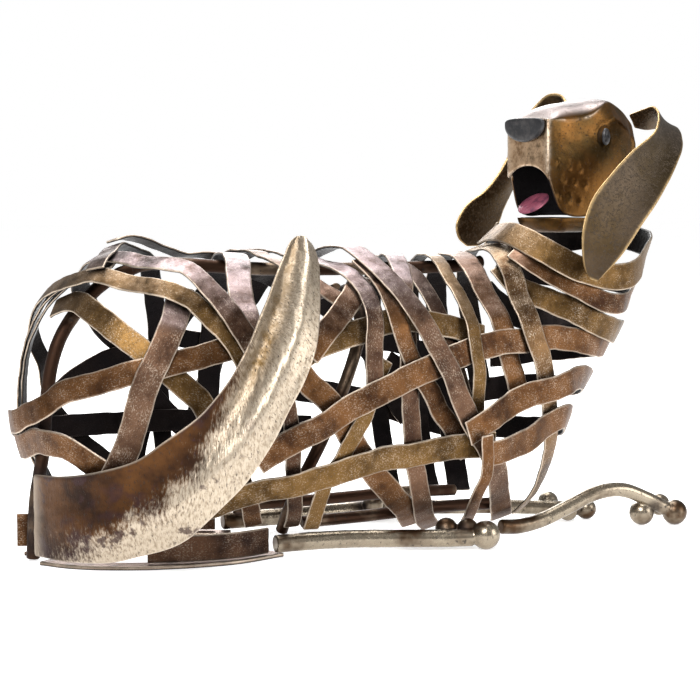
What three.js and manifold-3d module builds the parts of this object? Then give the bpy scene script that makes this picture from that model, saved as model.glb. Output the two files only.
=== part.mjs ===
// A hound lying down with its head turned back, welded up from hand-bent steel straps on a round-bar frame.
// Millimetres. +X runs from the rump to the chest, +Y is the hound's left, +Z is up.
// Every place below is in the maker's frame, whose origin is on the floor under the rump's rear point.
// ORIGIN carries it to the part's own frame, whose origin is at the middle of the footprint, on the floor.
import * as THREE from 'three';
import { mergeVertices } from 'three/addons/utils/BufferGeometryUtils.js';
import Module from 'manifold-3d';

const wasm = await Module();
wasm.setup();

// ---- driving sizes ----
const ORIGIN = new THREE.Vector3(133, -9.3, 0);
const STRAP_THICK = 1.0;
const LAYER_STEP = 1.8;        // rise from one strap's inner face to the next one laid over it
const LAY_SLOPE = 0.25;        // the steepest a strap climbs where it rides up over another
const LAY_PITCH = 2.5;         // spacing of the places at which a strap's height is worked out
const LAP_MARGIN = 1.5;        // how far past its edge a strap already lifts the next one
const FACET_PITCH = 11;        // length of one flat facet along a strap
const BAR_SIDES = 10;
const SPINE_RADIUS = 2.6;
const BAR_RADIUS = 2.4;
const HIND_LEG_RADIUS = 3.5;
const FRONT_LEG_RADIUS = 3.0;
const WELD_GAP = 0.4;          // clear space kept between two welded pieces

// The body's form, in frames from the rump to the neck: the top point's x and z, the bottom point's x and z,
// and the half width.
const FRAMES = [
  [-3, 60, -3, 60, 0],
  [49, 118, 49, 3, 48],
  [98, 114, 98, 2, 50],
  [146, 114, 156, 4, 45],
  [174, 114, 200, 8, 39.5],
  [189, 116, 224, 48, 34.5],
  [196, 120, 243, 78, 31.5],
  [200, 126, 260, 112, 29.5],
  [203, 136, 267, 137, 29.5],
];
const FORM_SQUARENESS = 2.25;  // exponent of the superellipse that each frame is

// ---- colours ----
const COLOURS = {
  strap: { color: 0x6b4a36, roughness: 0.5, metalness: 0.85 },
  strapPale: { color: 0x85705f, roughness: 0.45, metalness: 0.85 },
  bar: { color: 0x6f5f52, roughness: 0.4, metalness: 0.9 },
  tail: { color: 0xb8a98f, roughness: 0.45, metalness: 0.8 },
  head: { color: 0x7a5a32, roughness: 0.45, metalness: 0.85 },
  ear: { color: 0x655a49, roughness: 0.5, metalness: 0.85 },
  ball: { color: 0xc9c3b4, roughness: 0.25, metalness: 1.0 },
  black: { color: 0x26262a, roughness: 0.5, metalness: 0.0 },
  tongue: { color: 0xb0607a, roughness: 0.5, metalness: 0.0 },
};

// ---- curves ----

// A smooth curve through rows of numbers, evenly paced: u = 0 is the first row, u = 1 the second, and so on.
function smooth(rows, u) {
  const last = rows.length - 1;
  const i = Math.min(Math.max(Math.floor(u), 0), last - 1);
  const t = Math.min(Math.max(u, 0), last) - i;
  const before = i > 0 ? rows[i - 1] : rows[0].map((v, c) => 2 * v - rows[1][c]);
  const after = i + 2 <= last ? rows[i + 2] : rows[last].map((v, c) => 2 * v - rows[last - 1][c]);
  return rows[i].map((p1, c) => {
    const p0 = before[c];
    const p2 = rows[i + 1][c];
    const p3 = after[c];
    const square = 2 * p0 - 5 * p1 + 4 * p2 - p3;
    const cube = 3 * p1 - p0 - 3 * p2 + p3;
    return 0.5 * (2 * p1 + (p2 - p0) * t + square * t * t + cube * t * t * t);
  });
}

const degrees = THREE.MathUtils.degToRad;
const signedPower = (v, e) => Math.sign(v) * Math.abs(v) ** e;

// A point of the body's form. Station counts the frames, and the clock angle is 0 at the top, 90 on the
// hound's right, 180 underneath. The first frame is a pole, closed by a quarter ellipse.
function onForm(station, clock) {
  let frame;
  if (station < 1) {
    const rise = Math.sin(station * Math.PI / 2);
    const run = 1 - Math.cos(station * Math.PI / 2);
    const [pole, full] = FRAMES;
    frame = full.map((v, c) => pole[c] + (v - pole[c]) * (c === 0 || c === 2 ? run : rise));
  } else {
    frame = smooth(FRAMES.slice(1), station - 1);
  }
  const [topX, topZ, bottomX, bottomZ, halfWidth] = frame;
  const across = signedPower(Math.sin(degrees(clock)), 2 / FORM_SQUARENESS);
  const up = signedPower(Math.cos(degrees(clock)), 2 / FORM_SQUARENESS);
  return new THREE.Vector3(
    (topX + bottomX) / 2 + (topX - bottomX) / 2 * up,
    -halfWidth * across,
    (topZ + bottomZ) / 2 + (topZ - bottomZ) / 2 * up,
  );
}

// The form's outward normal, from two short steps along it.
function formNormal(station, clock) {
  const step = 0.02;
  const back = Math.max(station - step, step);
  const along = onForm(station + step, clock).sub(onForm(back, clock));
  const round = onForm(station, clock + 1).sub(onForm(station, clock - 1));
  return round.cross(along).normalize();
}

function offForm(station, clock, lift) {
  return onForm(station, clock).addScaledVector(formNormal(station, clock), lift);
}

// ---- solids ----

// One closed skin over rings of points. A ring is a loop; both ends are closed by quads across the loop,
// which suits a ribbon, whose second half runs back under its first, and any other convex loop.
function skin(rings) {
  const count = rings[0].length;
  const half = count / 2;
  const places = rings.flat().flatMap((p) => [p.x, p.y, p.z]);
  const faces = [];
  const quad = (a, b, c, d) => faces.push(a, b, c, a, c, d);
  for (let r = 0; r < rings.length - 1; r += 1) {
    for (let i = 0; i < count; i += 1) {
      const j = (i + 1) % count;
      quad(r * count + i, r * count + j, (r + 1) * count + j, (r + 1) * count + i);
    }
  }
  const end = (rings.length - 1) * count;
  for (let i = 0; i < half - 1; i += 1) {
    const under = count - 1 - i;
    quad(under, under - 1, i + 1, i);
    quad(end + i, end + i + 1, end + under - 1, end + under);
  }
  const geometry = new THREE.BufferGeometry();
  geometry.setAttribute('position', new THREE.Float32BufferAttribute(places, 3));
  geometry.setIndex(faces);
  return outward(geometry);
}

// Turns a closed skin right side out: its signed volume must come out positive.
function outward(geometry) {
  const p = geometry.attributes.position;
  const index = geometry.index.array;
  const [a, b, c] = [new THREE.Vector3(), new THREE.Vector3(), new THREE.Vector3()];
  let volume = 0;
  for (let f = 0; f < index.length; f += 3) {
    a.fromBufferAttribute(p, index[f]);
    b.fromBufferAttribute(p, index[f + 1]);
    c.fromBufferAttribute(p, index[f + 2]);
    volume += a.dot(b.cross(c));
  }
  if (volume < 0) {
    for (let f = 0; f < index.length; f += 3) {
      [index[f + 1], index[f + 2]] = [index[f + 2], index[f + 1]];
    }
  }
  return geometry;
}

function solidOf(geometry) {
  const bare = geometry.clone();
  bare.deleteAttribute('normal');
  bare.deleteAttribute('uv');
  const merged = mergeVertices(bare, 1e-4);
  return new wasm.Manifold(new wasm.Mesh({
    numProp: 3,
    vertProperties: new Float32Array(merged.attributes.position.array),
    triVerts: new Uint32Array(merged.index.array),
  }));
}

function geometryOf(solid) {
  const mesh = solid.getMesh();
  const geometry = new THREE.BufferGeometry();
  geometry.setAttribute('position', new THREE.BufferAttribute(mesh.vertProperties, 3));
  geometry.setIndex(new THREE.BufferAttribute(mesh.triVerts, 1));
  return geometry;
}

// A round bar bent along a curve through the given points.
function bar(points, radius, steps) {
  const section = new THREE.Shape();
  section.absarc(0, 0, radius, 0, 2 * Math.PI);
  const route = points.map((p) => new THREE.Vector3(...p));
  const path = new THREE.CatmullRomCurve3(route, false, 'catmullrom', 0.5);
  return new THREE.ExtrudeGeometry(section, { extrudePath: path, steps, curveSegments: BAR_SIDES / 2 });
}

// A ribbon of sheet between two edge curves, bowed by a profile across it, its thickness laid on outside.
// edges gives the two edge rows, bow(u, v) the height off the straight line between them.
function ribbon({ first, second, steps, across, thick, bow, outside }) {
  const place = (u, v) => {
    const a = new THREE.Vector3(...smooth(first, u * (first.length - 1)));
    const b = new THREE.Vector3(...smooth(second, u * (second.length - 1)));
    return a.lerp(b, v);
  };
  const normal = (u, v) => {
    const h = 0.01;
    const along = place(Math.min(u + h, 1), v).sub(place(Math.max(u - h, 0), v));
    const over = place(u, 1).sub(place(u, 0));
    return along.cross(over).normalize().multiplyScalar(outside);
  };
  const rings = [];
  for (let i = 0; i <= steps; i += 1) {
    const u = i / steps;
    const outer = [];
    const inner = [];
    for (let j = 0; j <= across; j += 1) {
      const v = j / across;
      const n = normal(u, v);
      const p = place(u, v).addScaledVector(n, bow(u, v));
      inner.push(p);
      outer.push(p.clone().addScaledVector(n, thick));
    }
    rings.push([...outer, ...inner.reverse()]);
  }
  return skin(rings);
}

// ---- the straps ----

// Each strap: name, width, and its route as [station, clock] pairs. They are laid on in this order, and each
// one rides up over those already there, so the order is the weave.
const STRAPS = [
  ['rear_hoop_inner', 7, [[0.75, 12], [0.45, -18], [0.3, -60], [0.3, -105], [0.5, -142], [0.75, -160]]],
  ['rear_hoop_outer', 8, [[0.62, 14], [0.5, -10], [0.38, -45], [0.27, -90], [0.25, -135], [0.36, -168],
    [0.52, -176]]],
  ['rump_band_low', 10, [[1.15, 130], [0.85, 123], [0.55, 117], [0.34, 115], [0.19, 138], [0.17, 180],
    [0.26, 230],
    [0.5, 262], [1, 280], [1.5, 284]]],
  ['rump_band_slant', 9, [[0.42, 4], [0.5, 20], [0.59, 46], [0.74, 67], [0.95, 84], [1.2, 96], [1.5, 104]]],
  ['rump_band_middle', 9, [[1.75, 62], [1.3, 69], [0.9, 75], [0.55, 79], [0.28, 84], [0.08, 120],
    [0.1, 225],
    [0.32, 250], [0.7, 256], [1.2, 258], [1.9, 258], [2.6, 254]]],
  ['back_strap_rear', 10, [[1.4, 78], [1.42, 57], [1.45, 38], [1.62, 0], [1.75, -40], [1.8, -80],
    [1.75, -120], [1.8, -140]]],
  ['rump_strap_steep', 10, [[0.98, 43], [0.93, 56], [0.86, 68], [0.78, 80], [0.7, 98], [0.64, 116],
    [0.62, 128]]],
  ['rump_band_high', 8, [[1.45, 84], [1.27, 67], [1.02, 53], [0.84, 41], [0.68, 26], [0.52, 2],
    [0.46, -40], [0.55, -80],
    [0.8, -110], [1.15, -135]]],
  ['rump_band_top', 8.5, [[1.6, 84], [1.38, 67], [1.17, 49], [0.99, 35], [0.86, 24], [0.74, 4],
    [0.7, -30], [0.85, -62],
    [1.15, -85], [1.6, -105], [2.1, -122]]],
  ['far_rump_arch', 8, [[0.66, 20], [0.82, -4], [1.1, -30], [1.3, -65], [1.4, -105], [1.35, -145]]],
  ['far_top_band', 7, [[0.82, -4], [1.05, -13], [1.35, -17], [1.7, -22], [2.1, -34], [2.6, -52],
    [3.1, -75], [3.5, -105]]],
  ['flank_stub_low', 7, [[1.35, 112], [1.45, 124], [1.56, 140]]],
  ['flank_stub_upright', 6, [[1.65, 86], [1.73, 98], [1.78, 112], [1.84, 128], [1.88, 142]]],
  ['flank_brace_forward', 9.5, [[1.7, 70], [1.88, 81], [2.05, 88], [2.2, 98], [2.43, 116], [2.7, 136],
    [2.85, 153]]],
  ['flank_brace_back', 6.5, [[2.5, 74], [2.35, 88], [2.23, 97], [2.13, 107], [2.04, 120], [2.02, 142]]],
  ['far_flank_band_upper', 8, [[1.3, -72], [2.1, -74], [3, -74], [3.9, -80], [4.6, -96]]],
  ['shoulder_stub', 7, [[2.9, 18], [3.01, 32], [3.07, 50], [3.13, 65], [3.15, 77], [3.22, 92]]],
  ['shoulder_hoop_rear', 8, [[3, 155], [2.87, 142], [2.73, 116], [2.68, 96], [2.7, 70], [2.8, 42],
    [2.98, 4], [3.15, -35],
    [3.25, -80], [3.2, -120], [3.1, -152]]],
  ['back_patch_under', 8, [[1.7, -48], [1.85, 0], [1.98, 24], [2.12, 38], [2.25, 46]]],
  ['flank_band_upper', 10, [[1.75, 74], [2, 67], [2.35, 61], [2.65, 58], [2.95, 60], [3.3, 64], [3.6, 67]]],
  ['back_patch_over', 9, [[2.48, 32], [2.38, 42], [2.22, 53], [2.02, 63], [1.85, 72]]],
  ['back_strap_diagonal', 7.5, [[1.1, -120], [1.4, -85], [1.75, -45], [2.1, -10], [2.3, 24], [2.42, 42],
    [2.44, 56], [2.41, 68],
    [2.38, 86]]],
  ['shoulder_brace', 8, [[2.48, 27], [2.57, 44], [2.63, 66], [2.8, 84], [3.05, 99], [3.2, 110]]],
  ['chest_hoop_rear', 9.5, [[3.96, 92], [3.93, 76], [3.93, 58], [3.95, 36], [4.1, 4], [4.2, -30],
    [4.2, -75], [4, -115],
    [3.8, -146]]],
  ['belly_band_upper', 10, [[1.45, 106], [1.68, 98], [1.97, 93], [2.35, 86], [2.85, 78], [3.4, 72],
    [3.97, 71], [4.63, 81],
    [5.35, 104], [5.8, 140], [5.9, 180], [5.55, 225], [4.9, 255]]],
  ['neck_band_lower', 10, [[4.5, 34], [4.7, 52], [5.18, 73], [5.65, 97], [5.95, 130], [6.15, 175],
    [6, 225], [5.6, 262], [5.4, 285]]],
  ['chest_hoop_front', 9, [[3.95, 160], [4.18, 140], [4.37, 118], [4.4, 100], [4.35, 80], [4.46, 58],
    [4.68, 40],
    [4.95, 20], [5.1, -8], [5.08, -45], [4.9, -80], [4.6, -108]]],
  ['shoulder_hoop_front', 6, [[3.28, 106], [3.31, 90], [3.35, 72], [3.4, 54], [3.47, 28], [3.62, -2],
    [3.75, -45], [3.75, -90],
    [3.6, -125], [3.55, -140]]],
  ['belly_band_lower', 10, [[1.1, 128], [1.43, 120], [1.83, 115], [2.25, 109], [2.7, 107], [3.1, 106],
    [3.45, 105]]],
  ['long_diagonal', 9, [[1.5, -128], [1.8, -88], [2.1, -48], [2.4, -4], [2.5, 24], [2.62, 42],
    [2.76, 57], [2.92, 74], [3.1, 91],
    [3.3, 104], [3.46, 116], [3.6, 136], [3.72, 156]]],
  ['chest_band_middle', 10, [[3.1, 100], [3.55, 93], [4.07, 91], [4.67, 103], [5.1, 122], [5.35, 160],
    [5.2, 205], [4.75, 240],
    [4.1, 262], [3.4, 276]]],
  ['chest_band_lower', 10, [[3.3, 107], [3.8, 105], [4.25, 108], [4.65, 124], [4.85, 160], [4.75, 200],
    [4.4, 235], [3.9, 252],
    [3.2, 262], [2.4, 270]]],
  ['neck_band_middle', 8.5, [[5.08, 34], [5.25, 45], [5.55, 60], [5.85, 82], [6.1, 105], [6.45, 140],
    [6.65, 180], [6.6, 225],
    [6.4, 262], [6.2, 290]]],
  ['neck_collar', 11, [[5.85, -4], [5.92, 30], [6.08, 62], [6.32, 88], [6.62, 112], [7, 140],
    [7.25, 175], [7.3, 215], [7.1, 255],
    [6.8, 295], [6.55, 335]]],
  ['chest_brace_low', 5.5, [[3.25, 100], [3.25, 114], [3.21, 128], [3.27, 152]]],
];

// Samples a strap's route at an even pitch: place, outward normal, direction and sideways direction.
function walk(route) {
  const fine = 24 * (route.length - 1);
  const dense = [];
  for (let i = 0; i <= fine; i += 1) {
    const [station, clock] = smooth(route, i / fine * (route.length - 1));
    dense.push({ station: Math.max(station, 0.03), clock, place: onForm(Math.max(station, 0.03), clock) });
  }
  const run = [0];
  for (let i = 1; i <= fine; i += 1) {
    run.push(run[i - 1] + dense[i].place.distanceTo(dense[i - 1].place));
  }
  const count = Math.max(4, Math.round(run[fine] / LAY_PITCH));
  const samples = [];
  let i = 0;
  for (let s = 0; s <= count; s += 1) {
    const target = run[fine] * s / count;
    while (i < fine - 1 && run[i + 1] < target) i += 1;
    const t = (target - run[i]) / Math.max(run[i + 1] - run[i], 1e-6);
    const station = THREE.MathUtils.lerp(dense[i].station, dense[i + 1].station, t);
    const clock = THREE.MathUtils.lerp(dense[i].clock, dense[i + 1].clock, t);
    samples.push({ place: onForm(station, clock), normal: formNormal(station, clock) });
  }
  samples.forEach((sample, s) => {
    const ahead = samples[Math.min(s + 1, count)].place;
    const behind = samples[Math.max(s - 1, 0)].place;
    sample.along = ahead.clone().sub(behind);
    sample.along.addScaledVector(sample.normal, -sample.along.dot(sample.normal)).normalize();
    sample.side = sample.along.clone().cross(sample.normal);
  });
  return { samples, pitch: run[fine] / count };
}

// How high a place is already built up: the top of any laid strap that covers it, or null.
function builtUp(place, normal, laid) {
  let top = 0;
  for (const strap of laid) {
    for (const sample of strap.samples) {
      const off = place.clone().sub(sample.place);
      if (off.lengthSq() > 225 || normal.dot(sample.normal) < 0.3) continue;
      const inside = Math.abs(off.dot(sample.side)) < strap.width / 2 + LAP_MARGIN
        && Math.abs(off.dot(sample.along)) < strap.pitch + LAP_MARGIN;
      if (inside) top = Math.max(top, sample.height + LAYER_STEP);
    }
  }
  return top;
}

// Lays the straps one by one. Each strap is lifted over what it crosses, and comes down again at LAY_SLOPE.
function layStraps() {
  const laid = [];
  for (const [name, width, route] of STRAPS) {
    const { samples, pitch } = walk(route);
    const needed = samples.map(({ place, normal, side }) => Math.max(
      ...[-0.5, -0.25, 0, 0.25, 0.5].map((share) => builtUp(
        place.clone().addScaledVector(side, share * width), normal, laid,
      )),
    ));
    const spread = needed.map((v, s) => Math.max(v, needed[s - 1] ?? 0, needed[s + 1] ?? 0));
    const eased = spread.map((_, s) => Math.max(
      ...spread.map((v, q) => v - LAY_SLOPE * pitch * Math.abs(s - q)),
    ));
    samples.forEach((sample, s) => {
      const [before, after] = [eased[s - 1] ?? eased[s], eased[s + 1] ?? eased[s]];
      sample.height = (before + 2 * eased[s] + after) / 4;
    });
    laid.push({ name, width, pitch, samples });
  }
  return laid;
}

// A strap's solid: a flat section carried along its samples.
function strapGeometry({ width, pitch, samples }) {
  const last = samples.length - 1;
  const facets = Math.max(3, Math.round(last * pitch / FACET_PITCH));
  const rings = [];
  for (let f = 0; f <= facets; f += 1) {
    const { place, normal, side, height } = samples[Math.round(last * f / facets)];
    const corner = (share, lift) => place.clone()
      .addScaledVector(side, share * width)
      .addScaledVector(normal, height + lift);
    rings.push([corner(-0.5, STRAP_THICK), corner(0.5, STRAP_THICK), corner(0.5, 0), corner(-0.5, 0)]);
  }
  return skin(rings);
}

// ---- the frame of round bars ----

const mirror = (rows) => rows.map(([x, y, ...rest]) => [x, -y, ...rest]);
const formRow = (station, clock, lift) => offForm(station, clock, lift).toArray();

// The spine bar runs under the back, well inside the rump's curve, and down to the floor behind.
const SPINE_DEPTH = -4.6;
const SPINE_REAR = [[50, 0, 112.5], [36, 0, 109.5], [26, 0, 104], [18, 0, 96], [11, 0, 86], [7, 0, 75],
  [4.6, 0, 60], [3.2, 0, 42], [0, 0, 22], [-1.2, 0, 0.6]];

function spineBar() {
  const back = [4.9, 4.2, 3.4, 2.6, 1.8].map((station) => formRow(station, 0, SPINE_DEPTH));
  return bar([...back, ...SPINE_REAR], SPINE_RADIUS, 20);
}

const THIGH_BAR = [[126, -4, 101], [123, -24, 96], [118, -36, 82], [106, -37, 52], [94, -31, 24],
  [91, -24, 9]];
const sillBarRow = (clock) => [2.02, 2.5, 3.1, 3.7].map((station) => formRow(station, clock, -4));

// ---- legs: a bent bar with three balls welded on for toes ----

const BALL_ROUND = 8;
const BALL_RINGS = 6;

function leg(points, radius, steps, balls) {
  let solid = solidOf(bar(points, radius, steps));
  for (const [x, y, z, ballRadius] of balls) {
    const ball = new THREE.SphereGeometry(ballRadius, BALL_ROUND, BALL_RINGS);
    ball.rotateX(Math.PI / 2);
    ball.translate(x, y, z);
    solid = solid.add(solidOf(ball));
  }
  return geometryOf(solid);
}

const HIND_LEG = [[86, -30, 5.2], [101, -30, 5.4], [118, -32, 5.4], [136, -36, 5], [151, -40, 4.7],
  [164, -44, 4.8]];
const HIND_TOES = [[168.5, -45.5, 5.7, 5.7], [156, -35.8, 7.6, 4.4], [163.5, -39.5, 7.6, 4.2]];
const FRONT_LEG = [[186, -24, 4.6], [196, -23, 4.2], [207, -22, 6.2], [218, -22, 10.4],
  [231, -22, 15.4], [243, -22, 16.2],
  [254, -22, 12.4], [265, -22, 6.8]];
const FRONT_TOES = [[269, -22, 5.3, 5.3], [266, -14.5, 7.6, 4.6], [254.5, -19.5, 5.6, 5.2]];
const FAR_FRONT_LEG = [[172, 22, 7], [188, 19, 6.6], [204, 16, 6.2], [221, 12, 5.4], [242, 5.5, 4.6]];
const FAR_FRONT_TOES = [[242, 5.5, 4.4, 4.4], [229, 15.5, 6.9, 4.4], [232, 3.4, 4.4, 4.2]];

// ---- the base: a flat strap on the floor under each haunch, with an upright strap on it ----

const BASE_WIDTH = 9;
const BASE_THICK = 1.5;
const BASE_PLAN = [[2, -9, 0], [13, -23, 0], [36, -33.5, 0], [64, -35, 0], [88, -26, 0]];
const SILL_TALL = 10;
const SILL_PLAN = [[34, -33, 0], [50, -36.5, 0], [68, -36, 0], [83, -30.5, 0]];
const SILL_LOW = BASE_THICK + WELD_GAP;
const SILL_TOP = SILL_LOW + SILL_TALL;
const REAR_TAB_PLAN = [[-1.6, 3.8, 0], [-3.8, 4.2, 0], [-6, 4.8, 0]];
const REAR_TAB_LOW = 5;
const REAR_TAB_HIGH = 17.5;

// A strap along a plan route: flat on the floor, or standing on its edge.
function planStrap(plan, low, high, width, steps) {
  const rings = [];
  for (let i = 0; i <= steps; i += 1) {
    const u = i / steps * (plan.length - 1);
    const here = new THREE.Vector3(...smooth(plan, u));
    const ahead = new THREE.Vector3(...smooth(plan, u + 0.02));
    const behind = new THREE.Vector3(...smooth(plan, u - 0.02));
    const side = ahead.sub(behind).normalize().cross(new THREE.Vector3(0, 0, 1));
    const corner = (share, z) => here.clone().addScaledVector(side, share * width).setZ(z);
    rings.push([corner(-0.5, high), corner(0.5, high), corner(0.5, low), corner(-0.5, low)]);
  }
  return skin(rings);
}

// ---- the tail: one big leaf of sheet from the rump's foot up over the near haunch ----

const TAIL_THICK = 1.4;
const TAIL_BOW = 4.5;
const TAIL_UPPER_EDGE = [[-0.5, -4, 33.5], [4.5, -26, 35.5], [13, -43, 39], [24, -54, 44],
  [32, -60, 51], [43, -63, 59],
  [49, -64, 65], [55, -64, 72], [60, -63, 79], [64.5, -61.5, 86], [68.5, -59, 93], [73, -56, 100],
    [78, -51, 107.5],
  [84, -44.5, 115], [88.5, -39.5, 120], [92.5, -37, 122.6]];
const TAIL_LOWER_EDGE = [[-0.5, -4, 2.4], [6.5, -24, 3], [17, -40, 4.5], [26, -48, 7.5],
  [35.5, -55, 11], [41.5, -60, 15],
  [46.5, -64, 20.5], [52.5, -68, 27.5], [60.5, -71, 36.5], [69.5, -73, 50], [75.5, -73, 61],
    [82, -72, 71.5], [87.5, -69, 82.5],
  [91, -64, 93], [94, -57, 104], [97, -48, 113], [97.3, -41.5, 119], [95, -37.6, 122.2]];

// Across the leaf, from the upper edge to the lower: a low valley, a high round ridge, and a fall at the rim.
function tailBow(u, v) {
  const fade = Math.sin(Math.PI * Math.min(1, u / 0.35) / 2) * Math.sqrt(1 - u ** 6);
  const ridge = Math.exp(-(((v - 0.64) / 0.24) ** 2));
  const lip = Math.exp(-((v / 0.12) ** 2));
  return TAIL_BOW * fade * (ridge + 0.25 * lip);
}

// ---- the head, in its own frame: back from the nose plate, sideways to the near cheek, and height ----

const FACE = new THREE.Vector3(210.5, -1, 0);
const BACKWARD = new THREE.Vector3(0.975, 0.22, 0).normalize();
const NEARWARD = new THREE.Vector3(BACKWARD.y, -BACKWARD.x, 0);
const headPlace = ([back, near, z]) => FACE.clone()
  .addScaledVector(BACKWARD, back)
  .addScaledVector(NEARWARD, near)
  .setZ(z);
const headMatrix = new THREE.Matrix4().makeBasis(BACKWARD, NEARWARD, new THREE.Vector3(0, 0, 1))
  .setPosition(FACE);

// Moves a shape made in the head's frame to its place. That frame is left-handed, so the shape is turned
// right side out again.
function onHead(geometry) {
  const bare = geometry.applyMatrix4(headMatrix);
  bare.deleteAttribute('normal');
  bare.deleteAttribute('uv');
  return outward(mergeVertices(bare, 1e-4));
}

const SHEET = 1.3;
// Stations along the head: back, half width of the cheeks, half width at the crease, height of the cheeks'
// lower edge, of the crease and of the crown.
const SKULL = [
  [0, 12.5, 12.4, 146, 169.3, 169.8],
  [5, 14, 13.4, 132.8, 168.8, 173.6],
  [11, 15.2, 14.2, 129.3, 168.4, 175.8],
  [19, 16.6, 15.4, 129.3, 170, 177],
  [25, 17.2, 15.4, 129.3, 173.6, 178],
  [31, 17.2, 13.4, 129.3, 176.8, 178.4],
  [37, 16.6, 13.4, 129.3, 174, 176.8],
  [42, 15.4, 13, 131, 170.5, 173],
  [46.5, 13.6, 11.6, 136, 165.5, 168],
];
const CREASE_DROP = 7;
// The hollow's last station, inside the back of the head.
const HOLLOW_END = [44.6, 14.2, 12, 134, 167.4, 169.9];
const OPEN_BELOW = 2;          // how far the hollow is cut past the cheeks' lower edge

function skullRing([back, half, crease, low, edge, crown], inset) {
  const loop = [];
  const side = (sign) => [
    [half, inset ? low - OPEN_BELOW : low],
    [half, (low + edge) / 2],
    [half, edge - CREASE_DROP],
    [crease, edge],
  ].map(([w, z]) => [sign * (w - inset), z - (w === crease ? inset : 0)]);
  const arch = [30, 60, 90, 120, 150].map((angle) => [
    (crease - inset) * Math.cos(degrees(angle)),
    edge - inset + (crown - edge) * Math.sin(degrees(angle)),
  ]);
  loop.push(...side(1), ...arch, ...side(-1).reverse(), [0, inset ? low - OPEN_BELOW : low]);
  return loop.map(([w, z]) => new THREE.Vector3(back, w, z));
}

// A skin over any loops, closed at both ends by a fan round the loop's middle.
function fanSkin(rings) {
  const count = rings[0].length;
  const middle = (ring) => ring.reduce((sum, p) => sum.add(p), new THREE.Vector3()).divideScalar(count);
  const places = [...rings.flat(), middle(rings[0]), middle(rings.at(-1))].flatMap((p) => [p.x, p.y, p.z]);
  const faces = [];
  const first = rings.length * count;
  for (let i = 0; i < count; i += 1) {
    const j = (i + 1) % count;
    for (let r = 0; r < rings.length - 1; r += 1) {
      const [a, b] = [r * count, (r + 1) * count];
      faces.push(a + i, a + j, b + j, a + i, b + j, b + i);
    }
    const end = (rings.length - 1) * count;
    faces.push(first, j, i, first + 1, end + i, end + j);
  }
  const geometry = new THREE.BufferGeometry();
  geometry.setAttribute('position', new THREE.Float32BufferAttribute(places, 3));
  geometry.setIndex(faces);
  return outward(geometry);
}

// The cheeks, brow and back of the head are one folded sheet, open underneath and at the front.
function skullGeometry() {
  const outer = fanSkin(SKULL.map((row) => skullRing(row, 0)));
  const hollowRows = SKULL.slice(0, -2).map((row) => [...row]);
  hollowRows[0][0] = -SHEET;
  hollowRows.push(HOLLOW_END);
  const hollow = fanSkin(hollowRows.map((row) => skullRing(row, SHEET)));
  return onHead(geometryOf(solidOf(outer).subtract(solidOf(hollow))));
}

// Stands an outline drawn in the head's width and height on end, facing forward, and puts it at its place.
function facePlate(shape, back, thick) {
  const plate = new THREE.ExtrudeGeometry(shape, { depth: thick, bevelEnabled: false, curveSegments: 8 });
  const upright = new THREE.Matrix4().makeBasis(
    new THREE.Vector3(0, 1, 0), new THREE.Vector3(0, 0, 1), new THREE.Vector3(1, 0, 0),
  );
  plate.applyMatrix4(upright);
  plate.translate(back, 0, 0);
  return onHead(plate);
}

function muzzlePlate() {
  const shape = new THREE.Shape();
  shape.moveTo(-12.5, 145.4);
  shape.lineTo(-12.5, 169.6);
  shape.lineTo(12.5, 169.6);
  shape.lineTo(12.5, 145.4);
  shape.quadraticCurveTo(7.5, 150.4, 0, 150.4);
  shape.quadraticCurveTo(-7.5, 150.4, -12.5, 145.4);
  return facePlate(shape, -SHEET - WELD_GAP, SHEET);
}

function nose() {
  const thick = 1.8;
  const shape = new THREE.Shape();
  shape.moveTo(-9.5, 170);
  shape.lineTo(9.3, 170);
  shape.quadraticCurveTo(12.4, 169.6, 11.4, 166.6);
  shape.quadraticCurveTo(6.5, 160.6, 0, 160);
  shape.quadraticCurveTo(-6.5, 160.6, -11.8, 166.6);
  shape.quadraticCurveTo(-12.8, 169.6, -9.5, 170);
  return facePlate(shape, -SHEET - 2 * WELD_GAP - thick, thick);
}

// The jaw is a shallow scoop: its rim's plan is round at the chin and wider at the back, and each level
// below the rim is that plan drawn in.
const JAW_RIM = 128.9;
const JAW_HALF = 14.5;
const JAW_LENGTH = 24;
const JAW_LEVELS = [[0, 0], [-2.2, 0.6], [-4.6, 2.2], [-6, 4.6]];

function jawRing(inset, z) {
  const half = JAW_HALF - inset;
  const ring = [[JAW_LENGTH - inset, -half], [JAW_LENGTH - inset, half]];
  const turns = 10;
  for (let i = 0; i <= turns; i += 1) {
    const angle = Math.PI / 2 - Math.PI * i / turns;
    ring.push([
      11 - (11 - inset) * signedPower(Math.cos(angle), 0.8),
      half * signedPower(Math.sin(angle), 0.8),
    ]);
  }
  return ring.map(([back, near]) => new THREE.Vector3(back, near, z));
}

function jaw() {
  const outer = JAW_LEVELS.map(([drop, inset]) => jawRing(inset, JAW_RIM + drop));
  const hollow = JAW_LEVELS.slice(0, -1);
  const inner = hollow.map(([drop, inset]) => jawRing(inset + SHEET, JAW_RIM + drop + SHEET));
  const mouthward = jawRing(SHEET, JAW_RIM + 4);
  return onHead(geometryOf(solidOf(fanSkin(outer)).subtract(solidOf(fanSkin([mouthward, ...inner])))));
}

const TONGUE = { length: 14, width: 15.5, thick: 2.4, pitch: 38, back: 4.6, near: -3, z: 134.8 };

function tongue() {
  const geometry = new THREE.SphereGeometry(0.5, 12, 6);
  geometry.rotateX(Math.PI / 2);
  geometry.scale(TONGUE.length, TONGUE.width, TONGUE.thick);
  geometry.rotateY(-degrees(TONGUE.pitch));
  geometry.translate(TONGUE.back, TONGUE.near, TONGUE.z);
  return onHead(geometry);
}

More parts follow.
